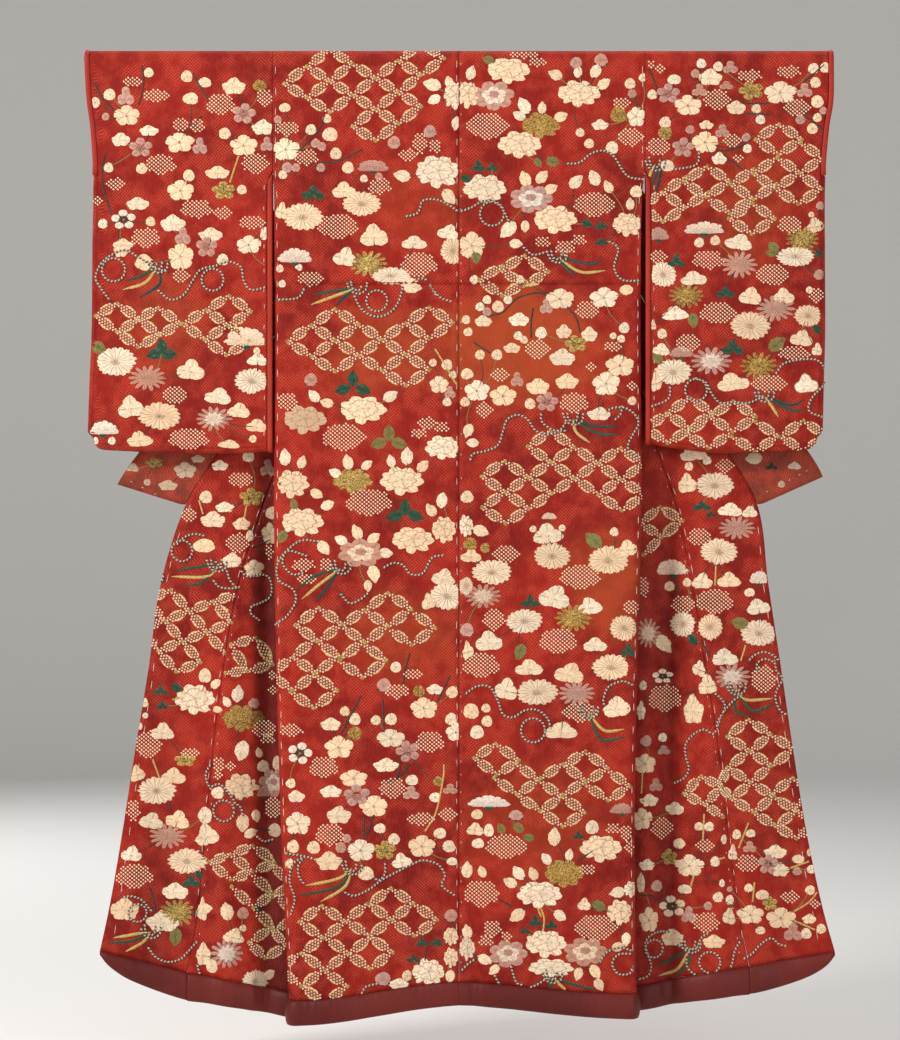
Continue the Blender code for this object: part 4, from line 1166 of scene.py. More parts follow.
        if h > 1.25 * w:
            way = up
        elif w > 1.25 * h:
            way = rand.choice((0.1, math.pi - 0.1))
        else:
            way = math.atan2(h, w * rand.choice((-1, 1)))
        if lean is not None:
            way = lean
        leaf(work, middle, (w + h) * 0.52, way + turn, shade(tint), finish)


def leaf(work, middle, size, way, tint, finish):
    back = (middle[0] - math.cos(way) * size * 0.25, middle[1] - math.sin(way) * size * 0.25)
    patch(work, back, lobes(leafShapes["blade"], size, size), 3, 32, tint, finish, 2, way, 0.0009)


dotPitch = 0.0052


def kanoko(work, x, y, wide, high):  # tied dots in staggered rows that fill a rounded patch
    (cx, cz), w, h = toPlane(x, y), wide / 2 * photo["metre"], high / 2 * photo["metre"]
    steps = range(-int(w / dotPitch * 1.5) - 1, int(w / dotPitch * 1.5) + 2)
    for i in steps:
        for j in steps:
            u, v = (i + j) * dotPitch * 0.72, (i - j) * dotPitch * 0.62
            lobe = 0.84 + 0.2 * abs(math.cos(2.5 * math.atan2(v / h, u / w) + 0.6))
            if (abs(u) / w) ** 1.8 + (abs(v) / h) ** 1.8 < lobe:
                work.dots.append((cx + u, cz + v, math.pi / 4))


def linkedPetal(work, start, end):  # one pointed petal of the linked circles, filled with tied dots
    middle = ((start[0] + end[0]) / 2, (start[1] + end[1]) / 2)
    if any(abs(middle[0] - k[0]) < 5 and abs(middle[1] - k[1]) < 5 for k in work.petals):
        return
    work.petals.append(middle)
    (x1, z1), (x2, z2) = toPlane(*start), toPlane(*end)
    length, lean = math.hypot(x2 - x1, z2 - z1), math.atan2(z2 - z1, x2 - x1)
    for half, share, tint, base in ((0.0112, 1.0, "edging", 0.0), (0.0084, 0.87, "between", 0.00025)):
        lens = lambda angle: ((abs(math.cos(angle)) / length / share * 2) ** 1.5
                              + (abs(math.sin(angle)) / half) ** 1.5) ** (-1 / 1.5)
        patch(work, ((x1 + x2) / 2, (z1 + z2) / 2), lambda angle: (lens(angle),) * 2, 2, 14, tints[tint],
              satin, 2, lean, 0.0005, base)
    for row in range(4):
        for k in range(8):
            along, off = (k + 0.5 * (row % 2) + 0.25) / 8, (row - 1.5) * 0.0040
            if abs(off) < 0.0080 * math.sin(math.pi * min(1, max(0, along))) ** 0.8:
                x, z = mix(x1, x2, along) - math.sin(lean) * off, mix(z1, z2, along) + math.cos(lean) * off
                work.dots.append((x, z, lean))
    for corner in (start, end):
        spot = toPlane(*corner)
        if all(math.dist(spot, other) > 0.004 for other in work.knots):
            work.knots.append(spot)
            knot = petalled(4, 0.0044, 0.0044, 0.2)
            patch(work, spot, knot, 2, 12, tints["yellow"], gold, 4, 0.78, 0.0012)


def linkedCell(work, left, a, b):  # one diamond of four petals between its corners
    corners = [left, (left[0] + a[0], left[1] + a[1]), (left[0] + a[0] + b[0], left[1] + a[1] + b[1]),
               (left[0] + b[0], left[1] + b[1])]
    for start, end in zip(corners, corners[1:] + corners[:1]):
        linkedPetal(work, start, end)


def strand(work, route, tint, finish, wide, lift=0.0009, taper=True):  # a stem, branch or tassel strip
    line, rows = smoothRoute(route, 0.004), []
    for i, (x, z) in enumerate(line):
        before, after = line[max(i - 1, 0)], line[min(i + 1, len(line) - 1)]
        run = math.dist(before, after) or 1.0
        side = (-(after[1] - before[1]) / run, (after[0] - before[0]) / run)
        t = i / (len(line) - 1)
        half = wide / 2 * (min(1.0, 0.35 + 2.2 * t, 0.25 + 3.5 * (1 - t)) if taper else 1.0)
        if work.ground.drop(x, z) is None:
            rows.append(None)
            continue
        row = []
        for u in (-1, -0.45, 0.45, 1):
            height, place = -0.0002 if abs(u) == 1 else lift, (t * len(line) * 0.35, u)
            at = (x + side[0] * half * u, z + side[1] * half * u)
            row.append(work.point(*at, height, tint, place, (x, z)))
        rows.append(row)
    for a, b in zip(rows, rows[1:]):
        if a and b:
            for k in range(3):
                work.face((a[k], a[k + 1], b[k + 1], b[k]), finish)


def smoothRoute(route, step):
    points = [np.array(toPlane(*p)) for p in route]
    points = [2 * points[0] - points[1]] + points + [2 * points[-1] - points[-2]]
    line = []
    for a, b, c, d in zip(points, points[1:], points[2:], points[3:]):
        count = max(1, round(np.linalg.norm(c - b) / step))
        for k in range(count):
            t = k / count
            line.append(tuple(0.5 * (2 * b + (c - a) * t + (2 * a - 5 * b + 4 * c - d) * t * t
                + (3 * b - a - 3 * c + d) * t ** 3)))
    return line + [tuple(points[-2])]


def cordRoute(work, route):
    line = [work.ground.drop(x, z) for x, z in smoothRoute(route, 0.003)]
    run = []
    for found in line + [None]:
        if found:
            run.append((found[0] + found[1] * 0.0007, found[1]))
        elif len(run) > 3:
            work.cords.append(run)
            run = []
        else:
            run = []


def cordRing(work, x, y, radius):
    cordRoute(work, [(x + radius * math.cos(a), y + radius * math.sin(a))
        for a in np.linspace(0, 2 * math.pi, 17)])


def tassel(work, head, ends):
    hx, hy = head
    for i, (name, via, end) in enumerate(ends):
        tint = tints[{"green": "green", "gold": "yellow", "olive": "deepGreen"}[name]]
        strand(work, [head, via, end], tint, satin, 0.0054, 0.0013 - 0.0002 * i)
    cordRoute(work, [(hx - 10, hy - 5), (hx - 6, hy + 3), (hx + 2, hy + 6), (hx + 9, hy + 2),
        (hx + 10, hy - 5)])
    cordRoute(work, [(hx - 6, hy - 7), (hx - 4, hy + 1), (hx + 3, hy + 2), (hx + 5, hy - 6)])


def newTree(name, inputs):
    tree = bpy.data.node_groups.new(name, "GeometryNodeTree")
    sockets = [("INPUT", "Geometry", "Geometry")] + [("INPUT", *entry) for entry in inputs]
    for way, label, kind in sockets + [("OUTPUT", "Geometry", "Geometry")]:
        tree.interface.new_socket(name=label, in_out=way, socket_type=f"NodeSocket{kind}")
    return tree, tree.nodes.new("NodeGroupInput").outputs, tree.nodes.new("NodeGroupOutput").inputs


# a small rounded body on each point, along the cloth; every other one takes the second finish
def beadTree():
    inputs = [(label, "Float") for label in ("Length", "Width", "Height", "Twist")]
    inputs += [("Sides", "Int"), ("First", "Material"), ("Second", "Material")]
    tree, source, target = newTree("Beads on points", inputs)
    add = lambda kind, inputs=None, **settings: addNode(tree, kind, inputs, **settings).outputs[0]
    sizes = {"Vertices": source["Sides"], "Radius Top": 0.62, "Radius Bottom": 1.0, "Depth": 1.0}
    cone = addNode(tree, "GeometryNodeMeshCone", sizes, fill_type="NONE").outputs["Mesh"]
    top = add("GeometryNodeMeshCircle", {"Vertices": source["Sides"], "Radius": 0.62}, fill_type="NGON")
    lift = add("GeometryNodeTransform", {"Geometry": top, "Translation": (0, 0, 1.0)})
    join = tree.nodes.new("GeometryNodeJoinGeometry")
    for part in (cone, lift):
        feed(tree, join.inputs[0], part)
    bead = add("GeometryNodeMergeByDistance", {"Geometry": join.outputs[0], "Distance": 0.01})
    outwards, along = [add("GeometryNodeInputNamedAttribute", {"Name": name}, data_type="FLOAT_VECTOR")
                       for name in ("outwards", "along")]
    rotation = add("FunctionNodeAxesToRotation", {0: outwards, 1: along}, primary_axis="Z",
        secondary_axis="X")
    twist = add("FunctionNodeAxisAngleToRotation", {"Axis": (0, 0, 1), "Angle": source["Twist"]})
    turned = add("FunctionNodeRotateRotation", {0: rotation, 1: twist}, rotation_space="LOCAL")
    size = add("ShaderNodeCombineXYZ", {0: source["Length"], 1: source["Width"], 2: source["Height"]})
    placing = {"Points": source["Geometry"], "Instance": bead, "Rotation": turned, "Scale": size}
    placed = add("GeometryNodeInstanceOnPoints", placing)
    second = mathNode(tree, "MODULO", add("GeometryNodeInputIndex"), 2.0)
    split = addNode(tree, "GeometryNodeSeparateGeometry", {0: placed, 1: second}, domain="INSTANCE")
    ends = tree.nodes.new("GeometryNodeJoinGeometry")
    for output, label in ((0, "Second"), (1, "First")):
        real = add("GeometryNodeRealizeInstances", {0: split.outputs[output]})
        paint = add("GeometryNodeSetMaterial", {"Geometry": real, "Material": source[label]})
        feed(tree, ends.inputs[0], paint)
    feed(tree, target[0], ends.outputs[0])
    return tree


beads = beadTree()


# a spot is a place, outwards and along; the result becomes a plain mesh
def beadPiece(name, spots, first, second, **settings):
    settings.update(Sides=6, First=threads[first], Second=threads[second])
    mesh = bpy.data.meshes.new(name)
    mesh.from_pydata([spot[0] for spot in spots], [], [])
    for label, pick in (("outwards", 1), ("along", 2)):
        layer = mesh.attributes.new(label, "FLOAT_VECTOR", "POINT")
        layer.data.foreach_set("vector", np.array([spot[pick] for spot in spots], dtype=np.float32).ravel())
    piece = bpy.data.objects.new(name, mesh)
    scene.collection.objects.link(piece)
    maker = piece.modifiers.new("Beads", "NODES")
    maker.node_group = beads
    for item in beads.interface.items_tree:
        if item.in_out == "INPUT" and item.name in settings:
            maker[item.identifier] = settings[item.name]
    graph = bpy.context.evaluated_depsgraph_get()
    plain = bpy.data.meshes.new_from_object(piece.evaluated_get(graph), preserve_all_data_layers=True,
        depsgraph=graph)
    piece.modifiers.clear()
    piece.data = plain
    plain.shade_smooth()
    return piece


cordSpacing = 0.0031
stitches = {  # half the length, half the width and the height in metres, and the turn on the thread
    "dots": {"Length": 0.0016, "Width": 0.0019, "Height": 0.0012, "Twist": 0.0},
    "cord": {"Length": 0.0025, "Width": 0.0016, "Height": 0.0016, "Twist": 0.75},
    "basting": {"Width": 0.0005, "Height": 0.0006, "Twist": 0.0},
}


def cordSpots(cords, spacing):
    spots = []
    for run in cords:
        left = 0.0
        for (a, normal), (b, _) in zip(run, run[1:]):
            length = (b - a).length
            while left < length:
                spots.append((a.lerp(b, left / length), normal, (b - a).normalized()))
                left += spacing
            left -= length
    return spots


# with the piece's tint and its place in the motif: across the petals, and outwards
def stitchMaterial(name, sockets):
    made, tree, shader, place = clothMaterial(name, sockets)
    tint = addNode(tree, "ShaderNodeVertexColor", layer_name="tint").outputs
    pattern = addNode(tree, "ShaderNodeUVMap", uv_map="pattern").outputs[0]
    return made, tree, shader, place, tint, axesOf(tree, pattern)


def inkSilk(name):  # reserved pale silk with fine drawn lines, a little frayed and soiled
    sockets = {"Roughness": 0.7, "Specular IOR Level": 0.25}
    made, tree, shader, place, tint, parts = stitchMaterial(name, sockets)
    wander = product(tree, noiseNode(tree, place, 300.0, 2.0), 0.16)
    between = mathNode(tree, "PINGPONG", mathNode(tree, "ADD", parts[0], wander), 0.5)
    width = product(tree, product(tree, tint["Alpha"], 0.05), parts[1])
    edgeLine = rangeNode(tree, product(tree, between, width), 0.0010, 0.0003)
    rim = rangeNode(tree, parts[1], 0.86, 0.97)
    vein = rangeNode(tree, mathNode(tree, "PINGPONG", product(tree, parts[0], 4.0), 0.5), 0.2, 0.05)
    vein = product(tree, product(tree, vein, 0.35), rangeNode(tree, parts[1], 0.25, 0.5))
    line = mathNode(tree, "MAXIMUM", product(tree, edgeLine, 0.75), vein)
    soil = rangeNode(tree, noiseNode(tree, place, 130.0, 4.0), 0.40, 0.70, 0.0, 0.42)
    tone = mixColour(tree, soil, tint[0], (0.56, 0.36, 0.20, 1))
    tone = mixColour(tree, product(tree, line, 0.85), tone, (0.26, 0.10, 0.06, 1))
    tone = mixColour(tree, product(tree, rim, 0.75), tone, (0.42, 0.13, 0.06, 1))
    feed(tree, shader["Base Color"], tone)
    bumpInto(tree, shader, mathNode(tree, "SUBTRACT", noiseNode(tree, place, 900.0, 2.0), line), 0.00025)
    return made


def threadSilk(name, roughness, metallic=0.0, strokes=9.0, shadeAndMottle=(0.25, 0.12, 0.08, 1), mottle=0.0):
    made, tree, shader, place, tint, parts = stitchMaterial(name, {
        "Roughness": roughness, "Metallic": metallic, "Sheen Weight": 0.05, "Specular IOR Level": 0.3,
        "Anisotropic": 0.4})
    uneven = product(tree, noiseNode(tree, place, 240.0, 2.0), 0.8)  # laid stitches side by side
    laid = mathNode(tree, "ADD", product(tree, parts[0], strokes), uneven)
    stroke = mathNode(tree, "PINGPONG", laid, 0.5)
    # painted shade in the gaps between laid stitches and the splits between petals; the rim is darker as
    # well, and the same dark tone mottles the coils at random
    gap = rangeNode(tree, stroke, 0.16, 0.0)
    split = rangeNode(tree, mathNode(tree, "PINGPONG", parts[0], 0.5), 0.07, 0.015)
    dark = mathNode(tree, "MAXIMUM", product(tree, gap, 0.45), product(tree, split, 0.65))
    dark = mathNode(tree, "MAXIMUM", dark, rangeNode(tree, parts[1], 0.86, 1.0, 0.0, 0.75))
    shadeAndMottleTone = mixColour(tree, 1.0, tint[0], shadeAndMottle, "MULTIPLY")
    tone = mixColour(tree, dark, tint[0], mixColour(tree, 0.4, shadeAndMottleTone, tint[0]))
    coils = product(tree, rangeNode(tree, noiseNode(tree, place, 420.0, 2.0), 0.44, 0.60), mottle)
    feed(tree, shader["Base Color"], mixColour(tree, coils, tone, shadeAndMottleTone))
    bumpInto(tree, shader, stroke, 0.0005)
    return made


def plainThread(name, colour, roughness=0.6, drift=0.25):
    made, tree, shader, place = clothMaterial(name, {"Roughness": roughness, "Sheen Weight": 0.3})
    uneven = rangeNode(tree, noiseNode(tree, place, 60.0, 3.0), 0.3, 0.7, 0.0, drift)
    feed(tree, shader["Base Color"], mixColour(tree, uneven, colour, (0.45, 0.20, 0.12, 1)))
    return made


ink, gold, satin = 0, 1, 2  # places in needlework
needlework = [
    inkSilk("reserved silk"), threadSilk("gold thread", 0.45, 0.3, 7.0, (0.30, 0.20, 0.12, 1), 0.85),
    threadSilk("laid floss", 0.38, mottle=0.3),
]
threads = {
    "dots": plainThread("tied dots", (0.88, 0.69, 0.45, 1), 0.8, 0.12),
    "green": plainThread("green cord", (0.010, 0.034, 0.026, 1)),
    "pale": plainThread("pale cord", (0.60, 0.52, 0.38, 1)),
    "basting": plainThread("basting thread", (0.78, 0.66, 0.56, 1)),
}


def finishWork(name, work):
    made = []
    if work.faces:
        mesh = bpy.data.meshes.new(name)
        mesh.from_pydata(work.points, [], work.faces)
        for finish in needlework:
            mesh.materials.append(finish)
        mesh.polygons.foreach_set("material_index", work.finish)
        addUv(mesh, "pattern", work.pattern)
        layer = mesh.color_attributes.new("tint", "FLOAT_COLOR", "POINT")
        layer.data.foreach_set("color", np.array(work.tint, dtype=np.float32).ravel())
        tidy = bmesh.new()
        tidy.from_mesh(mesh)
        flat = [face for face in tidy.faces if face.calc_area() < 1e-9]
        bmesh.ops.delete(tidy, geom=flat, context="FACES")
        for face in tidy.faces:
            if face.normal.y * work.ground.way > 0:
                face.normal_flip()
        bmesh.ops.delete(tidy, geom=[vert for vert in tidy.verts if not vert.link_faces], context="VERTS")
        tidy.to_mesh(mesh)
        tidy.free()
        mesh.shade_smooth()
        piece = bpy.data.objects.new(name, mesh)
        scene.collection.objects.link(piece)
        made.append(piece)
    spots = []
    for x, z, turn in work.dots:
        found = work.ground.drop(x, z)
        if found:
            along = Vector((math.cos(turn), 0, math.sin(turn)))
            spots.append((found[0], found[1], along))
    if spots:
        made.append(beadPiece(name + "_dots", spots, "dots", "dots", **stitches["dots"]))
    spots = cordSpots(work.cords, cordSpacing)
    if spots:
        made.append(beadPiece(name + "_cord", spots, "green", "pale", **stitches["cord"]))
    for piece in made:
        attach(piece, "root")
    return made


def pair(text):
    return tuple(float(value) for value in text.split(","))


stemReach = (8, 46)  # photo pixels from a leaf or bud to its flower
flowers = ("plum", "pinkPlum", "goldPlum", "whitePlum", "peony", "pinkPeony", "goldPeony", "chrys", "spiky",
           "goldSpiky")
small = ("bud", "pinkBud", "goldBud", "leaf", "leaf3", "cloud", "oliveLeaf", "greenLeaf")


def readChart(work, chart):  # the number of an entry is its seed
    entries = [entry.split() or [""] for entry in chart.split(";")]
    heads = [pair(rest[0]) for kind, *rest in entries if kind in flowers]
    stems = {}
    for number, (kind, *rest) in enumerate(entries):  # stems lie below the flowers
        if kind in small and heads:
            spot = pair(rest[0])
            head = min(heads, key=lambda other: math.dist(other, spot))
            if stemReach[0] < math.dist(head, spot) < stemReach[1]:
                stems[number] = math.atan2(head[1] - spot[1], spot[0] - head[0])
                bend = ((spot[0] + head[0]) / 2 + (head[1] - spot[1]) * 0.12, (spot[1] + head[1]) / 2 + 2)
                tint = tints["stem" if number % 3 else "olive"]
                strand(work, [spot, bend, head], tint, satin, 0.0019, 0.0004, False)
    for number, (kind, *rest) in enumerate(entries):
        if kind == "cord":
            cordRoute(work, map(pair, rest))
        elif kind in ("branch", "gilt"):
            tint = tints["stem" if kind == "branch" else "yellow"]
            strand(work, map(pair, rest), tint, satin, 0.0032, 0.0008, False)
        elif kind == "ring":
            cordRing(work, *pair(rest[0]), float(rest[1]))
        elif kind == "tassel":
            head = pair(rest[0])
            tassel(work, head, [(rest[i], pair(rest[i + 1]), pair(rest[i + 2]))
                for i in range(1, len(rest), 3)])
        elif kind == "lens":
            linkedPetal(work, pair(rest[0]), pair(rest[1]))
        elif kind == "cells":  # two edges, then the left corners
            a, b = pair(rest[0]), pair(rest[1])
            for word in rest[2:]:
                linkedCell(work, pair(word), a, b)
        elif kind:
            size = [float(value) for value in rest[1].split("x")]
            x, y = pair(rest[0])
            if kind == "k":
                kanoko(work, x, y, size[0], size[-1])
            else:
                lean = stems.get(number) if kind.lower().endswith("leaf") else None
                bloom(work, kind, x, y, size[0], size[-1], number, lean)


# Charts: kind, place x,y and size in photo pixels. k is a patch of tied dots; cells are the linked circles
charts = {}
charts["sleeve_left"] = """
bud 149,73 10; k 133,82 19x11; k 156,96 27x13; bud 110,95 12; bud 95,103 11; pinkBud 106,117 8;
pink3 126,97 18; plum 127,116 26x20; cloud 149,132 20x12; cloud 121,141 19x16; pinkPlum 141,148 24x20;
bud 187,77 12; bud 205,83 14x10; bud 191,99 16x12; cloud 234,88 24x14; goldBud 260,86 15x11;
k 221,105 30x22; k 265,99 18x18; pinkPlum 244,114 24x21; k 181,125 17x14; k 198,126 15x14;
plum 180,143 28x20; pink3 200,147 16; bud 225,134 12; cloud 263,129 23x13; plum 244,146 27x20;
pink3 267,145 14; k 161,165 31x21; k 256,164 28x21; bud 142,169 11; bud 109,168 10; bud 98,174 10;
k 116,184 23x12; k 98,201 11x11; cloud 218,174 25x15; bud 189,176 12; plum 181,191 26x20;
goldPlum 224,191 24x19; bud 242,190 10; k 197,209 32x19; k 223,213 20x12; cloud 138,205 23x15;
whitePlum 124,220 25x20; bud 103,224 10; bud 151,222 10; cloud 173,225 25x14; pink3 183,237 17;
cloud 211,236 25x15; k 146,238 30x20; k 252,223 27x14; pinkPlum 207,247 22; plum 249,245 25x18;
bud 269,209 6; bud 265,234 10x14; cloud 123,246 21x10; branch 142,66 144,78 143,92 139,106;
branch 95,83 102,98 114,110; branch 106,154 103,169 104,190 112,215; branch 193,74 209,101;
branch 202,116 193,129; gilt 239,156 230,183; plum 181,257 26; k 181,276 18x14; bud 144,263 17;
bud 223,260 12; cloud 121,252 15; bud 267,267 8; half 245,337 43x22; bud 257,351 7; greenLeaf 162,353 32x30;
oliveLeaf 97,347 15x20; chrys 116,362 41x29; spiky 148,378 37x25; leaf3 191,372 28x25; k 175,395 26x19;
chrys 252,381 33x25; leaf3 258,361 23x15; leaf3 131,409 26; chrys 160,416 43x27; leaf3 218,398 29x19;
leaf3 239,412 24x13; spiky 214,419 36x24; k 189,439 42x22; half 103,428 33x16; bud 95,441 8; bud 112,441 8;
leaf3 140,441 27x14; leaf3 229,445 23x8; leaf3 257,427 23x16; bud 253,439 8;
cord 110,300 101,288 96,277 103,262 118,252 128,251 138,257 156,268; ring 114,270 11.6;
cord 158,263 156,268 168,272;
cord 159,291 171,300 184,295 193,281 201,270 216,266 229,262 241,267 244,281 252,290 271,286;
ring 213,280 11; tassel 158,267 green 142,276 126,281 gold 145,283 123,290 olive 160,284 140,298;
cells 21.5,16 22,-12 95.9,315.9 116.8,331.2 137,320;
cells 21.5,15.5 23,-14 183.5,324.3 206.5,310.4 205,339.8
"""
charts["sleeve_right"] = """
k 651,64 8x8; k 660,69 12x10; bud 701,64 10; bud 718,67 10; pink3 730,68 16x12; pinkBud 695,74 9;
cloud 710,79 25x14; pink3 726,86 15x8; bud 674,80 14x10; pinkPlum 668,94 24x20; bud 652,95 10;
pink3 699,91 17x12; plum 688,106 27x20; k 717,100 28x21; k 750,76 26x12; goldPlum 751,91 26x19;
plum 780,93 32x22; k 789,72 26x12; bud 813,69 11; bud 825,68 11; bud 815,83 11; pink3 804,91 17x14;
k 797,108 28x18; bud 817,102 13; pinkBud 823,111 8; bud 817,118 9; pinkBud 800,120 10; bud 812,129 11;
cloud 736,109 20x16; bud 756,109 10; bud 760,120 10; bud 665,123 12; goldBud 665,133 14; k 658,147 24x18;
pinkBud 690,130 9; cloud 706,126 15x10; plum 705,143 26x21; pink3 722,132 16x13; k 732,141 19x13;
pinkBud 746,138 9; bud 747,149 9; pinkPlum 683,148 23x20; bud 667,166 14x12; cloud 719,160 16x14;
k 738,158 12x8; halfPink 658,234 20x15; half 704,228 41x15; bud 699,243 10; bud 715,241 10;
leaf3 738,244 29x14; k 789,225 25x17; goldSpiky 802,239 34x24; leaf3 816,227 20x18; pinkBud 820,206 9;
bud 811,215 6; oliveLeaf 773,247 16x9; branch 649,69 657,89; branch 744,104 769,104; branch 746,114 771,115;
branch 824,65 803,83; branch 803,115 824,131; branch 715,151 732,150 751,140; branch 723,155 742,170;
cord 674,170 696,165 699,151;
tassel 655,165 gold 651,172 648,182 green 656,174 650,190 olive 660,174 656,192; k 658,257 19x13;
greenLeaf 676,263 19; k 708,260 32x19; spiky 739,265 35x26; k 772,275 35x22; oliveLeaf 771,253 15x8;
chrys 795,257 38x20; greenLeaf 819,254 10; pinkBud 819,275 11; bud 809,290 7; k 816,295 16x15;
chrys 663,275 27x25; leaf3 694,280 27x17; goldSpiky 686,296 35x24; greenLeaf 725,294 22x15;
leaf3 750,298 24x21; leaf3 783,298 22x19; spiky 775,309 37x26; k 718,313 38x22; leaf3 675,315 28x17;
oliveLeaf 693,321 16x14; chrys 750,326 40x28; chrys 808,316 28x22; greenLeaf 817,330 11;
oliveLeaf 777,344 22x16; leaf3 801,340 24x14; k 794,353 33x15; leaf3 817,351 12x15; bud 662,334 10;
leaf3 653,326 6x12; k 688,343 26x18; leaf3 661,351 18x15; halfPink 681,352 23x13; oliveLeaf 657,358 11x15;
spiky 711,361 41x27; greenLeaf 732,350 27x20; goldSpiky 758,366 37x27; chrys 673,372 36x26;
leaf3 733,384 34x21; k 769,384 37x18; leaf3 656,384 12x22; outlineLeaf 806,386 28x25;
cord 776,373 783,364 797,360 816,360 824,369 824,383 811,399 809,411 822,417;
cord 764,396 748,403 733,402 720,403 711,393 706,383 695,378; ring 696,390 11; cord 670,386 668,399 650,407;
tassel 764,396 gold 772,407 778,417 green 790,410 804,409 olive 790,405 804,400; cells 22.5,15 23.5,-15
755.4,139.9 777,158.4 752.9,173.7 775.2,189 730.5,184.5 683.4,182 662.3,192.8 707,198.6 728.6,219 640,207;
cells 22.5,15 23.5,-15 666.5,413.3 709.7,416.7 645,428 685.6,433.3 732,436.6 780,436
"""
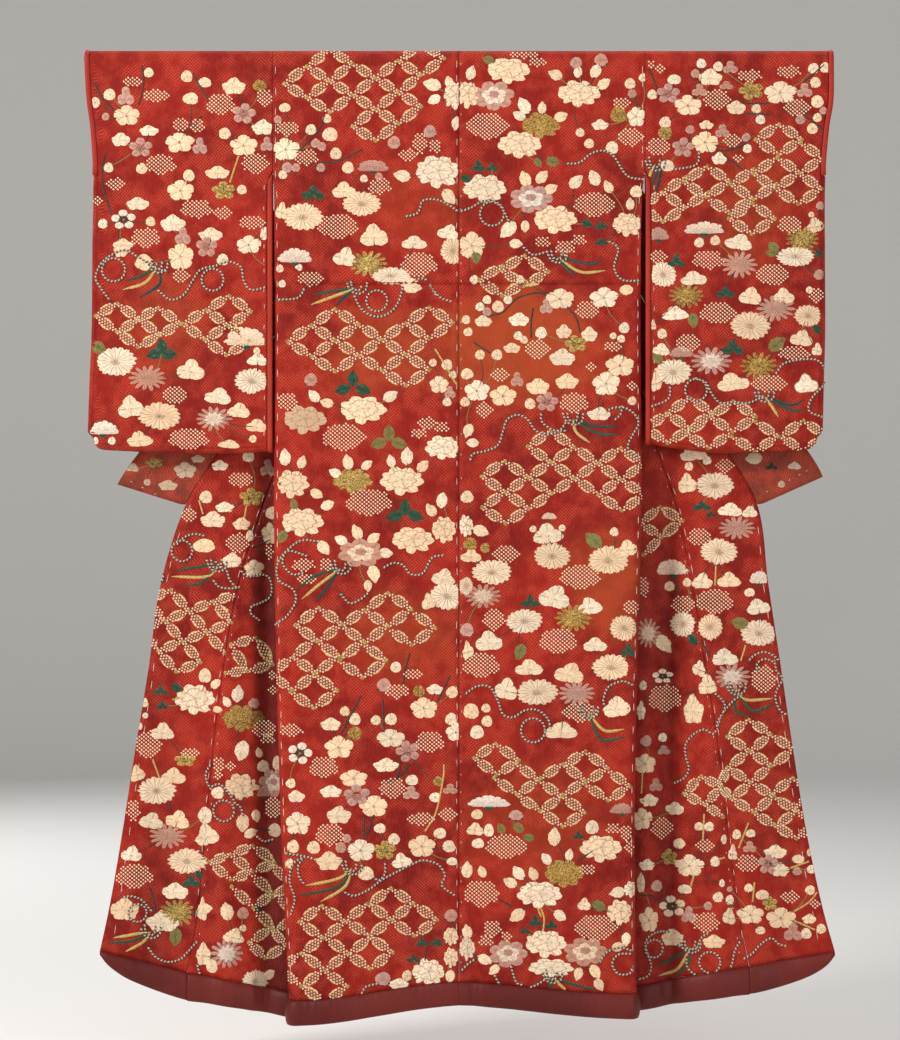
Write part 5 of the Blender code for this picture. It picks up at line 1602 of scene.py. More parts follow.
charts["back_left"] = """
leaf 432,85 21x14; leaf 449,82 11x13; leaf 434,100 15x12; peony 456,96 24x28; leaf 456,124 11x15;
bud 285,108 12x9; pinkBud 278,120 8; k 287,129 25x15; plum 286,150 27x22; bud 311,130 11; bud 327,119 9;
bud 330,135 16x14; pinkBud 316,144 10; pinkBud 322,147 9; k 307,158 23x17; bud 336,154 12;
pinkBud 321,168 9; bud 348,168 12; pinkBud 287,168 11; pinkBud 296,168 9; bud 283,175 9;
halfPink 373,166 30x14; bud 364,179 8; pinkBud 379,177 8; k 380,187 23x17; pinkBud 394,143 13;
pinkBud 430,132 13; k 420,144 15x21; k 435,147 13x13; k 408,155 21x12; peony 438,172 45x32;
leaf 402,176 19x14; greenLeaf 313,195 27x18; leaf3 344,192 25x19; chrys 362,204 38x25; chrys 303,217 40x27;
leaf3 282,213 13x20; k 338,227 41x26; leaf3 374,238 29x27; leaf3 345,259 24x22; goldSpiky 368,264 38x26;
leaf3 414,244 26x16; k 419,265 37x25; leaf3 448,234 23x17; chrys 453,251 25x27; chrys 391,276 38x17;
leaf 412,286 22x20; half 295,256 34x17; bud 280,269 8; bud 299,268 8; k 310,279 27x15; bud 282,284 8;
leaf 449,197 20x13; branch 325,115 319,130 299,152; branch 319,163 337,162 362,150;
cord 405,217 418,213 423,201 437,200 450,206 461,214; cord 415,280 426,280 436,295; cells 22.8,14.2
22.8,-17 284.3,84 307.1,67 307.1,98.2 329.9,81.2 352.7,95.4 375.5,78.4 398.3,61.4 375.5,109.6 352.7,126.6;
tassel 357,288 green 330,292 312,295 gold 330,298 311,305 olive 345,297 336,306;
cord 354,295 360,307 368,314 379,317 391,312 399,301 403,287; ring 377,301 10.5;
cord 427,280 434,291 441,298 452,302; cord 278,300 298,298 305,288; pinkBud 311,380 13; leaf 314,396 13x15;
leaf 327,403 13; ringPeony 305,420 42x28; greenTriple 353,387 35x28; peony 363,410 45x27;
leaf 391,396 17x14; k 288,402 21x18; k 344,437 44x28; oliveTriple 389,441 36x27; k 427,423 20x12;
k 419,434 17x10; k 442,427 14x12; peony 443,448 35x24; leaf 407,456 17; leaf 423,466 15x13;
leaf 391,461 14x11; peony 402,481 43x28; leaf 348,462 14x16; leaf 367,465 12; leaf 335,473 15x11;
goldPeony 353,481 38x25; leaf 285,457 15x18; leaf 302,462 13; peony 292,484 33x28; leaf 317,494 14x13;
bud 433,363 8; bud 447,365 11; bud 453,375 8; plum 439,385 19x17; pink3 450,393 12; bud 447,402 9;
gilt 435,349 445,365 456,384; cells 23.5,15 23.5,-16 311.7,325.7 288.2,341.7 311.7,356.7 335.2,340.7
358.7,355.7 382.2,339.7 405.7,323.7 382.2,370.7; oliveLeaf 294,504 11; leaf 328,505 15x13; k 369,502 47x27;
greenTriple 405,514 36x22; leaf 431,510 16x12; leaf 442,500 14x17; peony 302,522 43x28;
oliveLeaf 282,537 14; leaf 357,532 14x16; leaf 341,540 15x12; pinkPeony 361,553 43x26; leaf 374,538 14;
leaf 386,553 14; peony 413,540 41x26; peony 444,530 24x27; leaf 324,548 19x13; leaf 374,574 21x13;
leaf 368,586 14x9; k 304,565 24x13; k 326,565 13x13; k 307,579 19x11;
cord 318,541 300,541 283,555 277,569 280,581 293,589 296,601 287,616 275,626 277,639;
cord 308,556 288,551 283,563 292,574 303,573; cord 383,568 393,563 403,565 411,574 423,573 432,558 444,555;
cord 340,593 350,603 361,599 368,593;
tassel 341,568 green 315,576 296,590 gold 320,584 302,599 olive 328,586 316,602; leaf3 443,579 24x20;
chrys 447,596 36x27; outlineLeaf 429,603 17x21; bud 396,667 11; pinkBud 384,685 14; k 413,674 19x11;
k 397,691 25x15; goldBud 419,691 12; cloud 435,690 18x12; bud 452,692 12; plum 424,708 27x21;
bud 345,711 10; bud 355,719 12; cloud 331,725 21x15; goldBud 355,733 14; bud 376,720 10; bud 391,719 12;
plum 391,738 28x18; k 292,730 23x13; bud 451,719 12; plum 456,732 20x18; branch 410,653 405,670 403,684;
branch 450,676 437,702; branch 361,696 341,734; branch 383,700 384,730; cells 23,16.3 23.5,-17 365,610
388.6,628.4 295.7,625 342,626 318,641.7 339.7,660.8 270,674 291.6,657.4 290.7,691.4;
whitePlum 300,753 25x22; k 324,767 30x22; plum 339,747 28x22; k 430,742 30x22; pinkPlum 408,751 25x22;
cloud 386,766 26x16; plum 354,778 27x17; cloud 331,792 23x14; pinkPlum 357,795 27x23; plum 374,806 28x21;
k 393,788 28x22; bud 412,780 13x11; pink3 411,793 18x13; bud 435,797 11x10; goldBud 438,781 10;
pink3 450,789 16x10; bud 291,783 10; cloud 296,797 18x14; cloud 339,816 26x15; plum 298,823 26x23;
k 330,834 30x23; pinkBud 347,838 9; pinkBud 341,847 11; bud 314,847 13; bud 293,846 13; plum 361,850 27x22;
goldPlum 385,850 23x20; bud 380,828 12x10; bud 394,839 12; k 421,819 29x13; k 448,814 19x13;
bud 440,833 13x11; bud 449,846 13x12; plum 422,846 27x22; bud 452,861 11x8; cloud 329,862 27x16;
leaf3 402,862 21x17; bud 366,873 16x14; bud 290,863 8x10; branch 364,816 364,837; branch 374,816 366,837;
gilt 444,764 443,779 436,812 425,831; branch 400,762 398,776 386,783; branch 410,764 397,780;
cord 287,853 306,856 316,859; cord 306,855 299,864 299,875 304,883;
cord 306,855 293,864 290,881 295,898 291,914;
cord 344,891 354,895 369,889 381,880 394,873 412,864 423,860 438,864 445,875 442,885 455,895;
cord 385,862 385,873 379,880 373,876;
tassel 352,868 gold 338,878 306,885 green 338,886 299,895 gold 345,886 321,901; cells 23.5,16 22.5,-16
299.7,921.3 345.6,919.4 390.9,919.4 368.5,904.1 325.1,936.6 346.5,951.9 301.6,952.9 301.6,985.4 278.2,969;
pinkBud 451,915 13; pinkBud 383,978 16x14; greenLeaf 422,943 12x14; greenLeaf 436,943 14x12;
greenLeaf 413,959 16x9; branch 425,960 427,946; peony 451,936 15x18; peony 451,957 14x20;
peony 429,972 32x28; bud 407,975 10x11; leaf 450,976 14x12; cloud 399,984 21x9;
cord 362,992 366,986 377,983
"""
charts["back_right"] = """
oliveLeaf 488,60 12; peony 509,71 43x26; k 524,55 31x8; k 537,63 18x9; leaf 471,73 14; peony 468,95 24x26;
pinkPeony 494,96 38x27; k 487,126 44x27; leaf 524,106 17; leaf 519,116 16x10; leaf 542,108 12;
leaf 561,117 15x13; goldPeony 541,126 38x25; peony 520,145 43x27; peony 579,94 42x26; leaf 555,75 16x13;
pinkBud 576,63 12; pinkBud 601,60 14; leaf 578,72 12; leaf 596,71 17x13; leaf 604,84 17x11;
oliveLeaf 538,163 10; oliveLeaf 553,162 14; greenLeaf 478,168 13x18; greenLeaf 492,169 13;
greenLeaf 466,179 11; peony 485,189 43x28; leaf 525,179 16; leaf 542,177 15; leaf 551,189 14;
pinkPeony 531,199 40x26; leaf 576,182 16; leaf 594,178 15x17; leaf 608,187 13; k 594,205 42x25;
peony 555,220 43x28; bud 636,192 12; leaf 630,204 12; peony 627,225 29x24; greenLeaf 587,224 9x13;
greenLeaf 601,227 15x11; greenLeaf 601,243 14x11; k 543,242 16x11; k 565,248 21x16; k 579,240 15x12;
leaf 508,230 24x14; leaf 525,227 12; leaf 516,244 13; plum 472,246 26x26; oliveLeaf 476,257 14;
bud 630,84 11; bud 643,78 9; pinkBud 632,94 9; k 621,103 18x12; goldBud 618,115 16; plum 636,117 18x20;
k 630,137 27x19; cloud 600,126 17x12; bud 580,133 9; bud 589,144 10; bud 612,148 13; bud 474,280 9;
bud 520,280 9; cord 566,164 579,163 591,154 603,151 614,157 627,176 645,180;
cord 460,212 471,208 485,201 500,206 509,222; ring 492,214 12; cord 524,248 533,255 547,252;
cord 608,241 618,249 614,268 622,280 640,281; cells 23.4,16 23.5,-14 501,270 479,280;
tassel 557,257 green 566,268 575,276 gold 580,272 605,271 olive 588,264 604,260; plum 560,299 28x20;
plum 604,298 28x20; leaf 627,290 19x10; k 587,310 25x19; pink3 546,307 14; bud 480,307 9; bud 487,300 9;
pinkBud 487,312 9; bud 498,307 12; bud 508,300 9; cloud 483,322 18x13; bud 466,320 9; bud 468,332 9;
cloud 519,321 21x16; bud 541,333 12; bud 518,336 9; bud 524,340 8; k 537,349 27x20; cloud 512,349 18x12;
bud 480,355 10; bud 497,355 11; cloud 564,333 16; cloud 589,336 17; goldPlum 576,344 23x18;
cloud 562,359 27x19; cloud 567,383 24x13; k 612,347 18x10; bud 613,336 7; bud 621,339 8; bud 624,328 11;
plum 620,366 29x21; k 591,367 12x9; plum 606,384 27x24; bud 467,374 13x11; k 500,375 21x14;
pink3 517,380 14; plum 477,391 25x21; plum 503,396 26x20; cloud 538,388 24x14; pinkPlum 547,402 23x20;
bud 530,404 11; bud 465,402 10; k 484,410 18x17; k 574,403 30x21; bud 632,401 9; cloud 599,415 24x15;
k 632,386 14x9; leaf 468,431 16x12; leaf 472,443 16x9; bud 467,497 13;
cord 470,461 473,454 486,451 498,445 503,431 507,420 517,415 527,419 535,430 545,434 559,431 566,422;
cord 541,413 542,422 553,430 567,431;
cord 606,412 613,408 625,408 635,415 638,424 633,434 628,444 629,452 637,457; cord 622,407 620,415 613,421;
tassel 573,419 gold 576,432 590,443 green 596,433 619,435 olive 594,426 618,427;
branch 546,296 538,293 518,298 503,312 490,316; branch 474,343 490,353; branch 533,308 531,323 531,338;
branch 567,307 576,318 580,333; cells 23.4,16 23,-15 481.7,476.4 527.7,446.4 528.1,477.4 551.1,462.4
574.5,478.4 597.5,463.4 482.1,507.4 505.1,492.4 597.9,494.4; leaf 481,531 16; peony 466,526 14x22;
goldBud 470,544 14; goldBud 485,548 10; leaf3 471,557 21x17; k 506,554 28x17; chrys 492,572 40x25;
half 549,516 15x8; bud 533,529 7; bud 562,528 7; leaf3 548,536 31x18; chrys 552,556 37x26; bud 614,532 9;
oliveLeaf 593,540 19; chrys 608,560 41x28; leaf3 628,550 22x20; k 580,577 41x26; spiky 483,596 36x24;
greenLeaf 530,603 21x17; leaf3 554,599 33x27; leaf3 590,608 25x21; goldSpiky 573,618 37x27;
chrys 524,621 36x24; k 494,619 23x23; k 631,607 16x14; chrys 624,628 28x26; pinkBud 467,630 14;
leaf3 489,643 29x17; k 481,665 38x26; k 558,641 39x26; oliveLeaf 520,652 16; leaf3 595,646 25x17;
greenLeaf 628,652 16x18; leaf3 529,669 29x19; leaf3 569,675 31x18; chrys 611,667 38x26; leaf3 506,691 24x26;
chrys 537,692 42x26; spiky 577,693 36x25; k 580,712 38x20; leaf3 618,709 32x24; bud 471,711 16;
bud 486,708 9; bud 487,721 11; bud 477,732 14; leaf3 561,732 35x15; chrys 466,586 14x18;
leaf3 468,652 12x20; cord 465,694 477,686 490,687 498,701 503,714 513,717 525,710 538,710 548,719 550,729;
ring 533,730 12; cord 633,685 622,681 608,687 603,701 606,706;
tassel 588,712 gold 604,730 624,729 green 601,739 626,736;
cells 22.5,16.5 22,-14 474.1,757.7 494.2,777.4 517.2,794.1 539.8,809.4 540.7,777.8 563.1,765.4 585.1,783.6;
half 489,801 40x14; bud 477,814 12x10; pinkBud 516,815 15x10; halfPink 622,808 24x13; leaf3 475,830 18x15;
bud 489,830 10x13; bud 478,843 13x10; oliveLeaf 501,828 11x12; oliveLeaf 518,827 12x14;
oliveLeaf 528,837 13x10; k 506,846 43x25; bud 592,827 14; greenLeaf 578,836 12x11; peony 601,848 41x27;
k 613,828 14x12; k 626,832 13x15; k 629,847 10x14; leaf 554,836 16x19; leaf 546,858 16x10;
leaf 569,854 13x10; goldPeony 564,873 38x28; k 587,869 17x11; leaf 467,869 14x18; leaf 482,871 11x13;
k 481,893 36x27; leaf 518,872 15x16; leaf 533,873 14x13; leaf 510,882 18x10; peony 540,894 44x27;
leaf3 584,905 14x15; oliveLeaf 598,905 12x17; leaf 617,892 16x14; peony 631,889 14x16; peony 620,912 26x25;
k 595,927 44x27; leaf 517,915 19x15; leaf 560,915 15x13; greenLeaf 535,922 13x18; greenLeaf 551,925 14x12;
greenLeaf 525,931 13x8; gilt 541,908 544,918 543,930; gilt 537,906 541,916; k 492,929 18x19;
k 486,940 14x12; k 507,936 12x12; peony 546,943 41x27; pinkPeony 508,953 36x25; pinkPeony 585,951 40x26;
leaf 467,931 14x14; peony 467,948 16x22; leaf 485,959 17x12; leaf 494,969 13x12; peony 551,967 44x18;
leaf 578,973 12x14; leaf 595,971 17x13; leaf 599,984 18x9; leaf 626,939 14x13; leaf 618,946 14x12;
cord 461,970 468,963 476,958; cord 495,975 501,984 516,986 531,986 541,981 549,975;
cord 511,966 516,981 522,984; cord 599,962 606,952 620,947 631,950;
cord 631,953 618,954 612,963 618,973 629,973 632,967; branch 499,899 512,906; branch 600,845 577,861;
tassel 552,976 green 549,982 553,990 gold 560,984 567,990 green 575,984 598,989
"""

charts["front_left"] = """
k 156,453 14x14; goldPlum 175,460 23x15; cloud 218,466 18x12; bud 247,456 12; k 239,479 26x16;
goldPlum 250,497 25x19; pink3 266,468 17; bud 204,497 13; cloud 223,508 20x12; k 187,515 17x14;
cloud 211,521 27x18; cloud 240,525 19x14; bud 248,536 8x11; k 236,543 26x20; bud 271,513 14x13;
plum 268,534 16x20; k 267,552 9x15; bud 202,546 23x14; cloud 230,562 20x17; plum 252,569 19x18;
goldBud 277,520 12x18; branch 250,548 262,543 268,540; branch 255,551 262,555; gilt 197,500 201,514;
gilt 246,500 243,517; cord 203,536 193,534 183,537 174,545; ring 180,551 10.5;
cord 213,561 218,566 225,571 228,580 235,588 238,587; cord 211,580 217,587 227,589 238,588;
cord 240,572 246,577 258,575 267,578 270,588 268,598 258,604 250,607 249,614 257,621;
cord 160,571 161,577 159,583;
tassel 215,566 green 205,566 174,571 gold 205,577 169,577 green 200,583 184,586;
cells 18,21 24.5,-9.5 162.5,621.3 187,611.8 156,651.8 144.5,600.3 138,630.8; lens 211.5,602 235,595;
lens 205,633 223,654; cells 16,27 25,-6 229.5,645.3; lens 246,672 224,674; bud 203,677 13x15;
leaf 214,685 13x11; peony 193,701 39x30; greenLeaf 158,693 17x12; greenLeaf 174,689 10x13;
greenLeaf 160,708 14x12; gilt 176,700 170,701; bud 142,704 8x10; bud 143,717 6; leaf 137,727 5x12;
leaf3 160,735 24x20; k 146,746 27x28; leaf 236,695 15x18; goldPeony 240,720 41x27; leaf 225,703 9x14;
leaf 216,711 8x11; pinkBud 252,705 11; k 262,731 24x18; leaf 240,753 22x18; k 266,741 14x12; k 270,677 9x12;
k 271,692 13x9; leaf 257,755 9x11; k 188,755 20x10; goldPlum 183,762 22x14; leaf3 135,777 16x19;
leaf3 171,780 26x19; chrys 154,793 39x28; k 131,813 14x22; leaf3 148,825 25x20; leaf3 175,824 25x21;
spiky 165,839 36x25; bud 203,818 14x18; leaf3 205,840 26x25; leaf3 129,858 22x18; k 132,879 37x25;
chrys 185,864 38x26; greenLeaf 189,886 20x16; greenLeaf 197,878 8x12; cloud 173,896 28x19;
goldSpiky 175,916 35x27; cloud 122,914 31x26; cloud 161,927 35x18; leaf3 200,915 10x27;
oliveLeaf 173,941 22x14; bud 216,795 13; k 217,766 12x14; k 229,768 11x11; k 216,777 9x9;
peony 239,789 35x26; k 271,811 18x22; leaf 241,826 22x14; leaf 254,819 11x14; leaf 249,836 15x12;
bud 273,834 13x14; bud 261,769 12; pinkPeony 272,786 28x26; bud 275,766 9x15; halfPink 262,795 14x12;
greenLeaf 256,912 10x10; cord 209,766 204,775 205,784 209,791; cord 209,789 217,786 224,791 232,802;
ring 222,813 10.5; cord 233,805 239,810 241,818; cord 255,840 262,845 272,843; gilt 150,761 157,780;
branch 167,806 168,814; branch 253,832 268,834; branch 147,890 151,903 153,917;
cells 22,18 21,-7.5 207.6,864.7 230,856.5; cells 21.5,22 19,-13 230,889.6 249,879.4;
cells 16,17 22,-13 247,946.5; cells 22,24 22,-14 251,911; leaf 225,914 19x18; pinkBud 241,917 12;
leaf 203,912 10x20; leaf3 231,941 22x19; bud 241,932 7; spiky 225,957 32x30; cloud 201,960 15x26;
bud 210,970 12x14; chrys 253,986 24x23; leaf 267,980 7x18; half 148,985 8x6;
cord 120,900 129,899 139,903 146,911 150,916; ring 135,916 9;
cord 146,952 153,961 165,966 178,963 186,955 195,945; cord 195,968 197,976 200,983;
cord 218,988 226,989 232,994;
tassel 148,936 gold 136,937 111,941 green 130,944 105,946 gold 140,946 123,955
"""
charts["front_right"] = """
leaf3 695,455 30x12; bud 691,466 9; bud 709,460 9; k 727,465 20x15; chrys 717,485 38x26;
leaf3 689,485 20x23; greenLeaf 704,507 22x12; greenLeaf 713,515 12x9; leaf3 732,511 26x16;
leaf3 752,513 16x14; spiky 739,528 36x23; k 701,537 25x18; chrys 721,552 38x26; half 675,568 32x18;
bud 672,587 10; bud 689,583 9; leaf3 704,583 21x19; leaf3 731,582 25x18; half 761,578 19x15;
bud 752,593 11x9; k 685,605 24x18; k 717,602 37x26; leaf3 761,609 26x19; oliveLeaf 742,624 17x18;
chrys 685,625 24x26; chrys 712,628 25x26; chrys 761,634 36x27; greenLeaf 695,641 11x14; leaf 666,645 17x22;
spiky 650,634 26x30; leaf3 726,660 29x20; spiky 734,678 37x26; leaf3 701,671 13x20; leaf3 709,688 20x24;
k 766,680 27x28; whitePlum 665,678 22x15; k 667,700 35x29; bud 645,687 8x10; cloud 695,714 23x33;
pinkBud 648,743 12; bud 665,740 9; pink3 666,753 14x9; k 645,588 12x22; cloud 643,714 9x22;
gilt 718,566 717,586; branch 679,580 681,594; gilt 748,646 743,662; branch 704,643 712,658;
branch 685,697 698,692; cord 751,662 757,656 766,653 775,656 783,663;
cord 759,673 760,664 768,660 777,664 779,672 785,680 780,690 778,700 783,712 791,717;
cord 716,694 723,700 727,708 722,720 718,732;
cord 745,697 738,700 728,710 720,722 716,735 706,731 696,736 688,746 688,759 691,770 687,780 675,787;
tassel 738,690 gold 748,701 775,700 green 755,712 777,705 green 738,712 752,718;
cells 22.5,15 22,-16.5 729.3,738 751.8,753 729.8,769.5;
cells 22.5,14 21,-15.5 733.3,800.4 756,815 776.5,827 774.8,796; cells 20.5,10 17.5,-18 685.9,796.5;
lens 706,806 725,819; lens 723,789 733,800; lens 722,787 730,769; cells 21,-16 22,14 641.5,523;
lens 664,537 645,555; plum 647,766 22x20; pink3 658,788 15x13; cloud 651,804 20x15; plum 644,822 20x22;
cloud 678,813 19x15; k 664,831 24x23; bud 682,847 12x11; goldPlum 672,861 16x17; bud 701,829 9;
bud 711,829 10; k 707,848 21x14; plum 692,869 28x22; bud 717,864 10x11; cloud 649,869 16x14;
pinkBud 659,890 12; bud 687,893 14x10; whitePlum 675,911 27x22; pink3 691,919 16; k 708,926 28x22;
pinkBud 710,909 9; bud 720,900 11; bud 724,886 6x8; pinkBud 732,892 6; bud 732,903 9x10; plum 651,924 20x25;
cloud 643,888 9x24; cloud 676,944 25x19; cloud 716,946 24x16; leaf3 731,921 14x20; bud 726,842 6x10;
leaf3 735,857 10x18; bud 739,837 9x10; bud 753,836 10x8; pink3 752,850 15x11; k 750,866 24x18;
cloud 778,856 24x16; pinkPlum 771,867 21x22; cloud 783,874 19x16; bud 801,862 13x9; bud 812,855 5x8;
bud 814,872 9; pinkBud 800,874 9; bud 751,891 9; bud 765,898 14x10; goldPlum 773,907 16x15; k 793,900 22x12;
bud 813,893 10; k 818,907 13x10; plum 753,918 27x19; plum 784,922 30x21; bud 763,934 11x8;
cloud 812,923 15x11; pink3 796,936 20x18; bud 809,937 11; bud 824,932 10; gilt 644,775 643,796;
gilt 706,816 705,841; gilt 751,825 741,851; gilt 696,879 693,890; gilt 720,862 727,860;
gilt 793,871 812,864; gilt 797,915 812,905 820,895; gilt 797,924 818,933; branch 642,899 655,900 662,907;
gilt 757,885 755,905; cord 671,937 662,936 653,939 647,947 650,960 653,970 650,980 640,984; ring 656,953 9;
ring 712,966 10.5; cord 689,962 690,972 698,979 708,980 718,981 728,979 734,968 737,955 743,944;
cord 747,962 755,957 763,948 774,942 782,948 790,950; cord 711,936 704,941 700,951;
cord 681,950 690,954 701,952;
tassel 693,951 green 676,964 660,970 gold 680,974 661,981 green 690,970 677,981
"""
charts["collar"] = """
plum 183,470 22x16; cloud 166,486 20x12; goldPlum 152,462 18x11; leaf3 130,468 14x10; bud 145,482 7;
cloud 196,459 14x9; leaf 756,458 24x9; greenLeaf 774,467 14x9; leaf3 797,466 14x9; cloud 738,476 14x10;
bud 784,484 7; leaf3 752,488 12x9
"""
charts["shoulder_left"] = """
plum 300,80 27x22; bud 322,92 11; k 335,74 28x18; pinkPlum 360,90 24x20; cloud 290,110 24x15;
bud 312,118 10; chrys 345,120 38x25; leaf3 372,112 22x18; k 300,140 30x20; goldPlum 330,146 24x19;
bud 352,142 10; pink3 283,76 14; leaf 372,135 15x12
"""
charts["shoulder_right"] = """
peony 610,84 42x27; leaf 586,76 16x13; k 568,92 30x20; bud 632,100 10; pinkPeony 590,118 38x25;
leaf 616,112 15x12; cloud 560,118 22x14; k 622,138 30x20; goldPlum 596,146 24x19; bud 566,140 10;
greenLeaf 574,134 14x12; bud 548,82 9; plum 636,74 18x16
"""

behindSide = lambda centre: centre.y < 0.0
turnedOut = lambda centre: centre.y > 0.022 and centre.z < -0.14
grounds = {
    "back_left": (["body_left"], 1, behindSide), "back_right": (["body_right"], 1, behindSide),
    "sleeve_left": (["sleeve_left"], 1, behindSide), "sleeve_right": (["sleeve_right"], 1, behindSide),
    "front_left": (["body_left", "overlap_left"], 1, turnedOut),
    "front_right": (["body_right", "overlap_right"], 1, turnedOut),
    "sleeve_left_hidden": (["sleeve_left"], -1, lambda centre: centre.y > 0),
    "sleeve_right_hidden": (["sleeve_right"], -1, lambda centre: centre.y > 0),
    "collar": (["collar"], 1, lambda centre: centre.y > 0.0 and abs(centre.x) > 0.3),
    "shoulder_left_hidden": (["body_left"], -1, lambda centre: centre.y > 0 and centre.z > -0.17),
    "shoulder_right_hidden": (["body_right"], -1, lambda centre: centre.y > 0 and centre.z > -0.17),
}
works = {}
for name, (names, way, keep) in grounds.items():
    work = works[name] = Work(Ground(names, way, keep))
    work.fade = 0.55 if name == "collar" else 1.0
    readChart(work, charts.get(name.replace("_hidden", ""), ""))
    made = finishWork(f"needlework_{name}", work)
    print(name, [len(piece.data.polygons) for piece in made])

# Long basting stitches beside the seams: x is a function of the height below the rod
def alongSeam(name, side, inset):
    return lambda down: sides[side] * (outAt(name, side, down) - inset)


def centreSeam(side):
    return lambda down: sides[side] * 0.0035


def collarTail(side):
    return lambda down: sides[side] * (0.513 + (0.744 - down) * 1.9)


def innerEdge(side):
    return lambda down: sides[side] * (sleeveX(side, 0, down) + 0.0045)


bastings = []  # ground, x, from, to, half length, spacing
for side in sides:
    bastings += [
        (f"back_{side}", alongSeam("side", side, 0.0045), 0.02, 1.56, 0.0075, 0.021),
        (f"back_{side}", centreSeam(side), 0.01, 1.55, 0.0075 if side == "left" else 0.0022, 0.024),
        (f"front_{side}", alongSeam("edge", side, 0.0075), 0.765, 1.50, 0.0085, 0.026),
        (f"front_{side}", alongSeam("seam", side, -0.0050), 0.50, 1.53, 0.0080, 0.024),
        (f"front_{side}", alongSeam("seam", side, 0.0042), 0.50, 1.54, 0.0022, 0.019),
        ("collar", collarTail(side), 0.700, 0.742, 0.0022, 0.006),
        (f"sleeve_{side}", innerEdge(side), 0.22, 0.64, 0.0045, 0.021),
        (f"sleeve_{side}_hidden", innerEdge(side), 0.22, 0.64, 0.0045, 0.021),
    ]


def baste(cloth, xAt, start, end, half, spacing, seed):
    spots, down, rand = [], start, random.Random(seed)
    while down < end:
        places = []
        for at in (down - half, down + half):
            sway = 0.0016 * noise.noise(Vector((seed, at * 22, 0)))
            places.append(cloth.drop(xAt(at) + sway, -at))
        if all(places):
            (a, normal), (b, _) = places
            spots.append(((a + b) / 2 + normal * 0.0001, normal, (b - a).normalized()))
        down += spacing * rand.uniform(0.85, 1.9)
    return spots


for half in sorted({entry[4] for entry in bastings}):
    spots = []
    for number, (name, xAt, start, end, length, spacing) in enumerate(bastings):
        if length == half:
            spots += baste(works[name].ground, xAt, start, end, half, spacing, number)
    size = dict(stitches["basting"], Length=half)
    piece = beadPiece(f"basting_{round(half * 1e4)}", spots, "basting", "basting", **size)
    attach(piece, "root")


def seamBacking(name, rows):  # the turned-in allowances behind an open seam
    backs = [finishes["lining"]] * 2
    points = [(x + half, y, z) for x, y, z in rows for half in (-0.006, 0.006)]
    faces = [(2 * i, 2 * i + 1, 2 * i + 3, 2 * i + 2) for i in range(len(rows) - 1)]
    uv = [(x, z) for x, y, z in points]
    piece = finishSheet(name, {"points": points, "uv": uv, "faces": faces}, backs, 0.0008)
    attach(piece, "root")


rows = [backRow("left", down)[0] for down in stepRange(0.004, 1.54, 0.012)]
seamBacking("centre_seam_allowance", [(0.0, y + 0.0028, z) for x, y, z in rows])
for side in sides:
    rows = [overlapRow(side, down)[0] for down in stepRange(0.26, 1.54, 0.012)]
    seamBacking(f"front_seam_allowance_{side}", [(sides[side] * x, y + 0.0027, z) for x, y, z in rows])
    rows = [overlapRow(side, down)[-1] for down in stepRange(0.56, garment["collarEnd"] - 0.004, 0.012)]
    seamBacking(f"collar_seam_allowance_{side}", [(sides[side] * x, y + 0.0027, z) for x, y, z in rows])
print("stitches done")

# Camera, light and floor
floorMaterial = newMaterial("pale floor", {"Base Color": (0.80, 0.79, 0.77, 1), "Roughness": 0.9})[0]
floorShape = {
    "level": -1.72, "flat": 3.0, "bend": 7.0, "bendRadius": 2.0, "rim": 9.0, "top": 2.4, "around": 72,
}


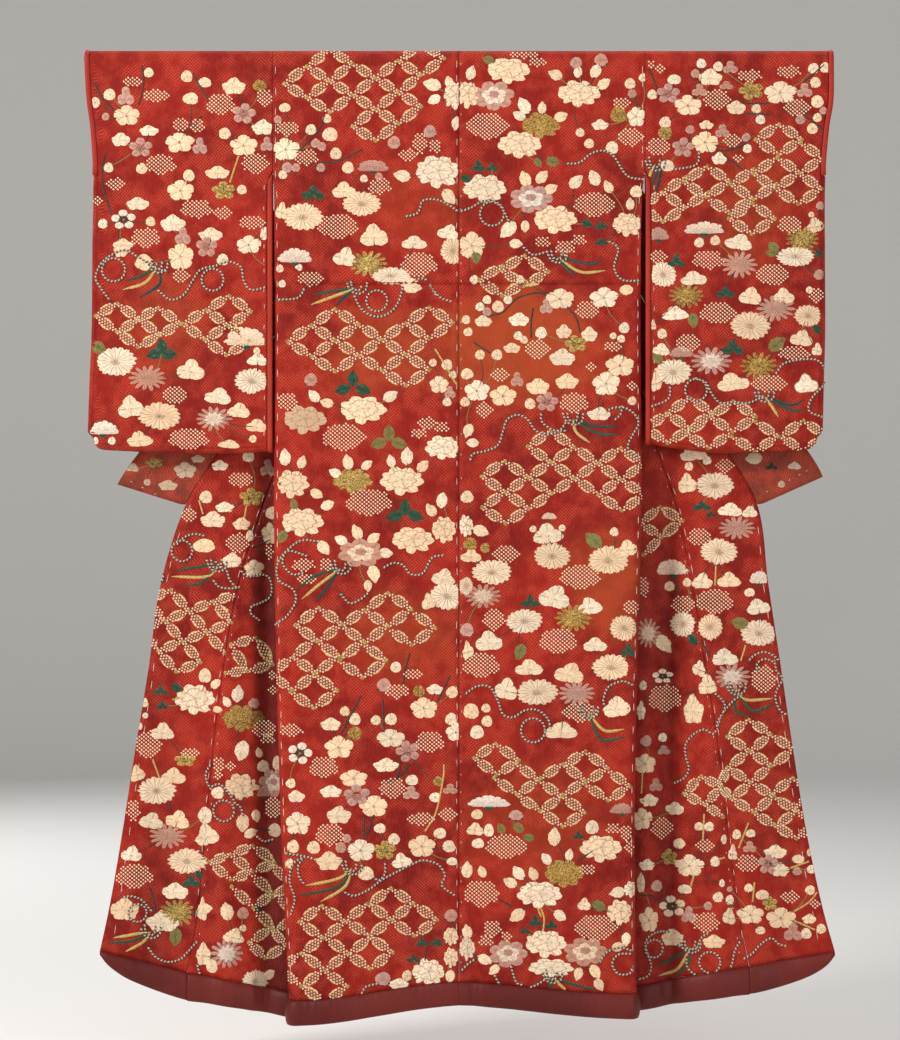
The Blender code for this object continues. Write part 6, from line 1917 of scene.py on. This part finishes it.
def backdrop():  # a wide pale floor that rises to a low rim, with every view inside it
    level, around, radius = floorShape["level"], floorShape["around"], floorShape["bendRadius"]
    turns = [math.radians(a) for a in range(0, 91, 10)]
    rim = [(floorShape["bend"] + radius * math.sin(a), level + radius - radius * math.cos(a)) for a in turns]
    profile = [(floorShape["flat"], level)] + rim + [(floorShape["rim"], floorShape["top"])]
    points, steps = [(0.0, 0.0, level)], [math.tau * k / around for k in range(around)]
    points += [(r * math.cos(a), r * math.sin(a), z) for r, z in profile for a in steps]
    faces = [(0, 1 + k, 1 + (k + 1) % around) for k in range(around)]
    for i in range(len(profile) - 1):
        low, high = 1 + i * around, 1 + (i + 1) * around
        faces += [(low + k, high + k, high + (k + 1) % around, low + (k + 1) % around) for k in range(around)]
    mesh = bpy.data.meshes.new("floor")
    mesh.from_pydata(points, [], faces)
    mesh.materials.append(floorMaterial)
    mesh.shade_smooth()
    floor = bpy.data.objects.new("floor", mesh)
    scene.collection.objects.link(floor)


def areaLight(name, place, target, size, energy, colour):
    data = bpy.data.lights.new(name, "AREA")
    data.energy, data.size, data.color = energy, size, colour
    lamp = bpy.data.objects.new(name, data)
    lamp.location = place
    lamp.rotation_euler = (Vector(target) - Vector(place)).to_track_quat("-Z", "Y").to_euler()
    scene.collection.objects.link(lamp)


lamps = {  # place, aim, size, energy, colour
    "key": ((-3.4, -3.0, 1.5), (0, 0, -0.8), 1.2, 190, (1.0, 0.98, 0.95)),
    "fill": ((2.6, -4.6, 0.0), (0, 0, -0.8), 2.6, 80, (0.97, 0.98, 1.0)),
    "top": ((0.3, 0.8, 2.8), (0, 0.2, -0.6), 2.4, 60, (1, 1, 1)),
    "behind": ((-2.9, 4.6, 1.2), (0, 0, -0.8), 1.2, 110, (1, 1, 1)),
}
backdrop()
for name, entry in lamps.items():
    areaLight(name, *entry)
world = bpy.data.worlds.new("studio")
world.use_nodes = True
world.node_tree.nodes["Background"].inputs[0].default_value = (1.0, 0.99, 0.97, 1)
world.node_tree.nodes["Background"].inputs[1].default_value = 0.30
scene.world = world

camera = bpy.data.objects.new("camera", bpy.data.cameras.new("camera"))
camera.location = (-0.0153, -6.0, -0.7845)
camera.rotation_euler = (math.radians(90), 0, 0)
camera.data.lens, camera.data.sensor_width, camera.data.sensor_fit = 122, 36, "AUTO"
scene.collection.objects.link(camera)
scene.camera = camera
scene.view_settings.view_transform = "Standard"
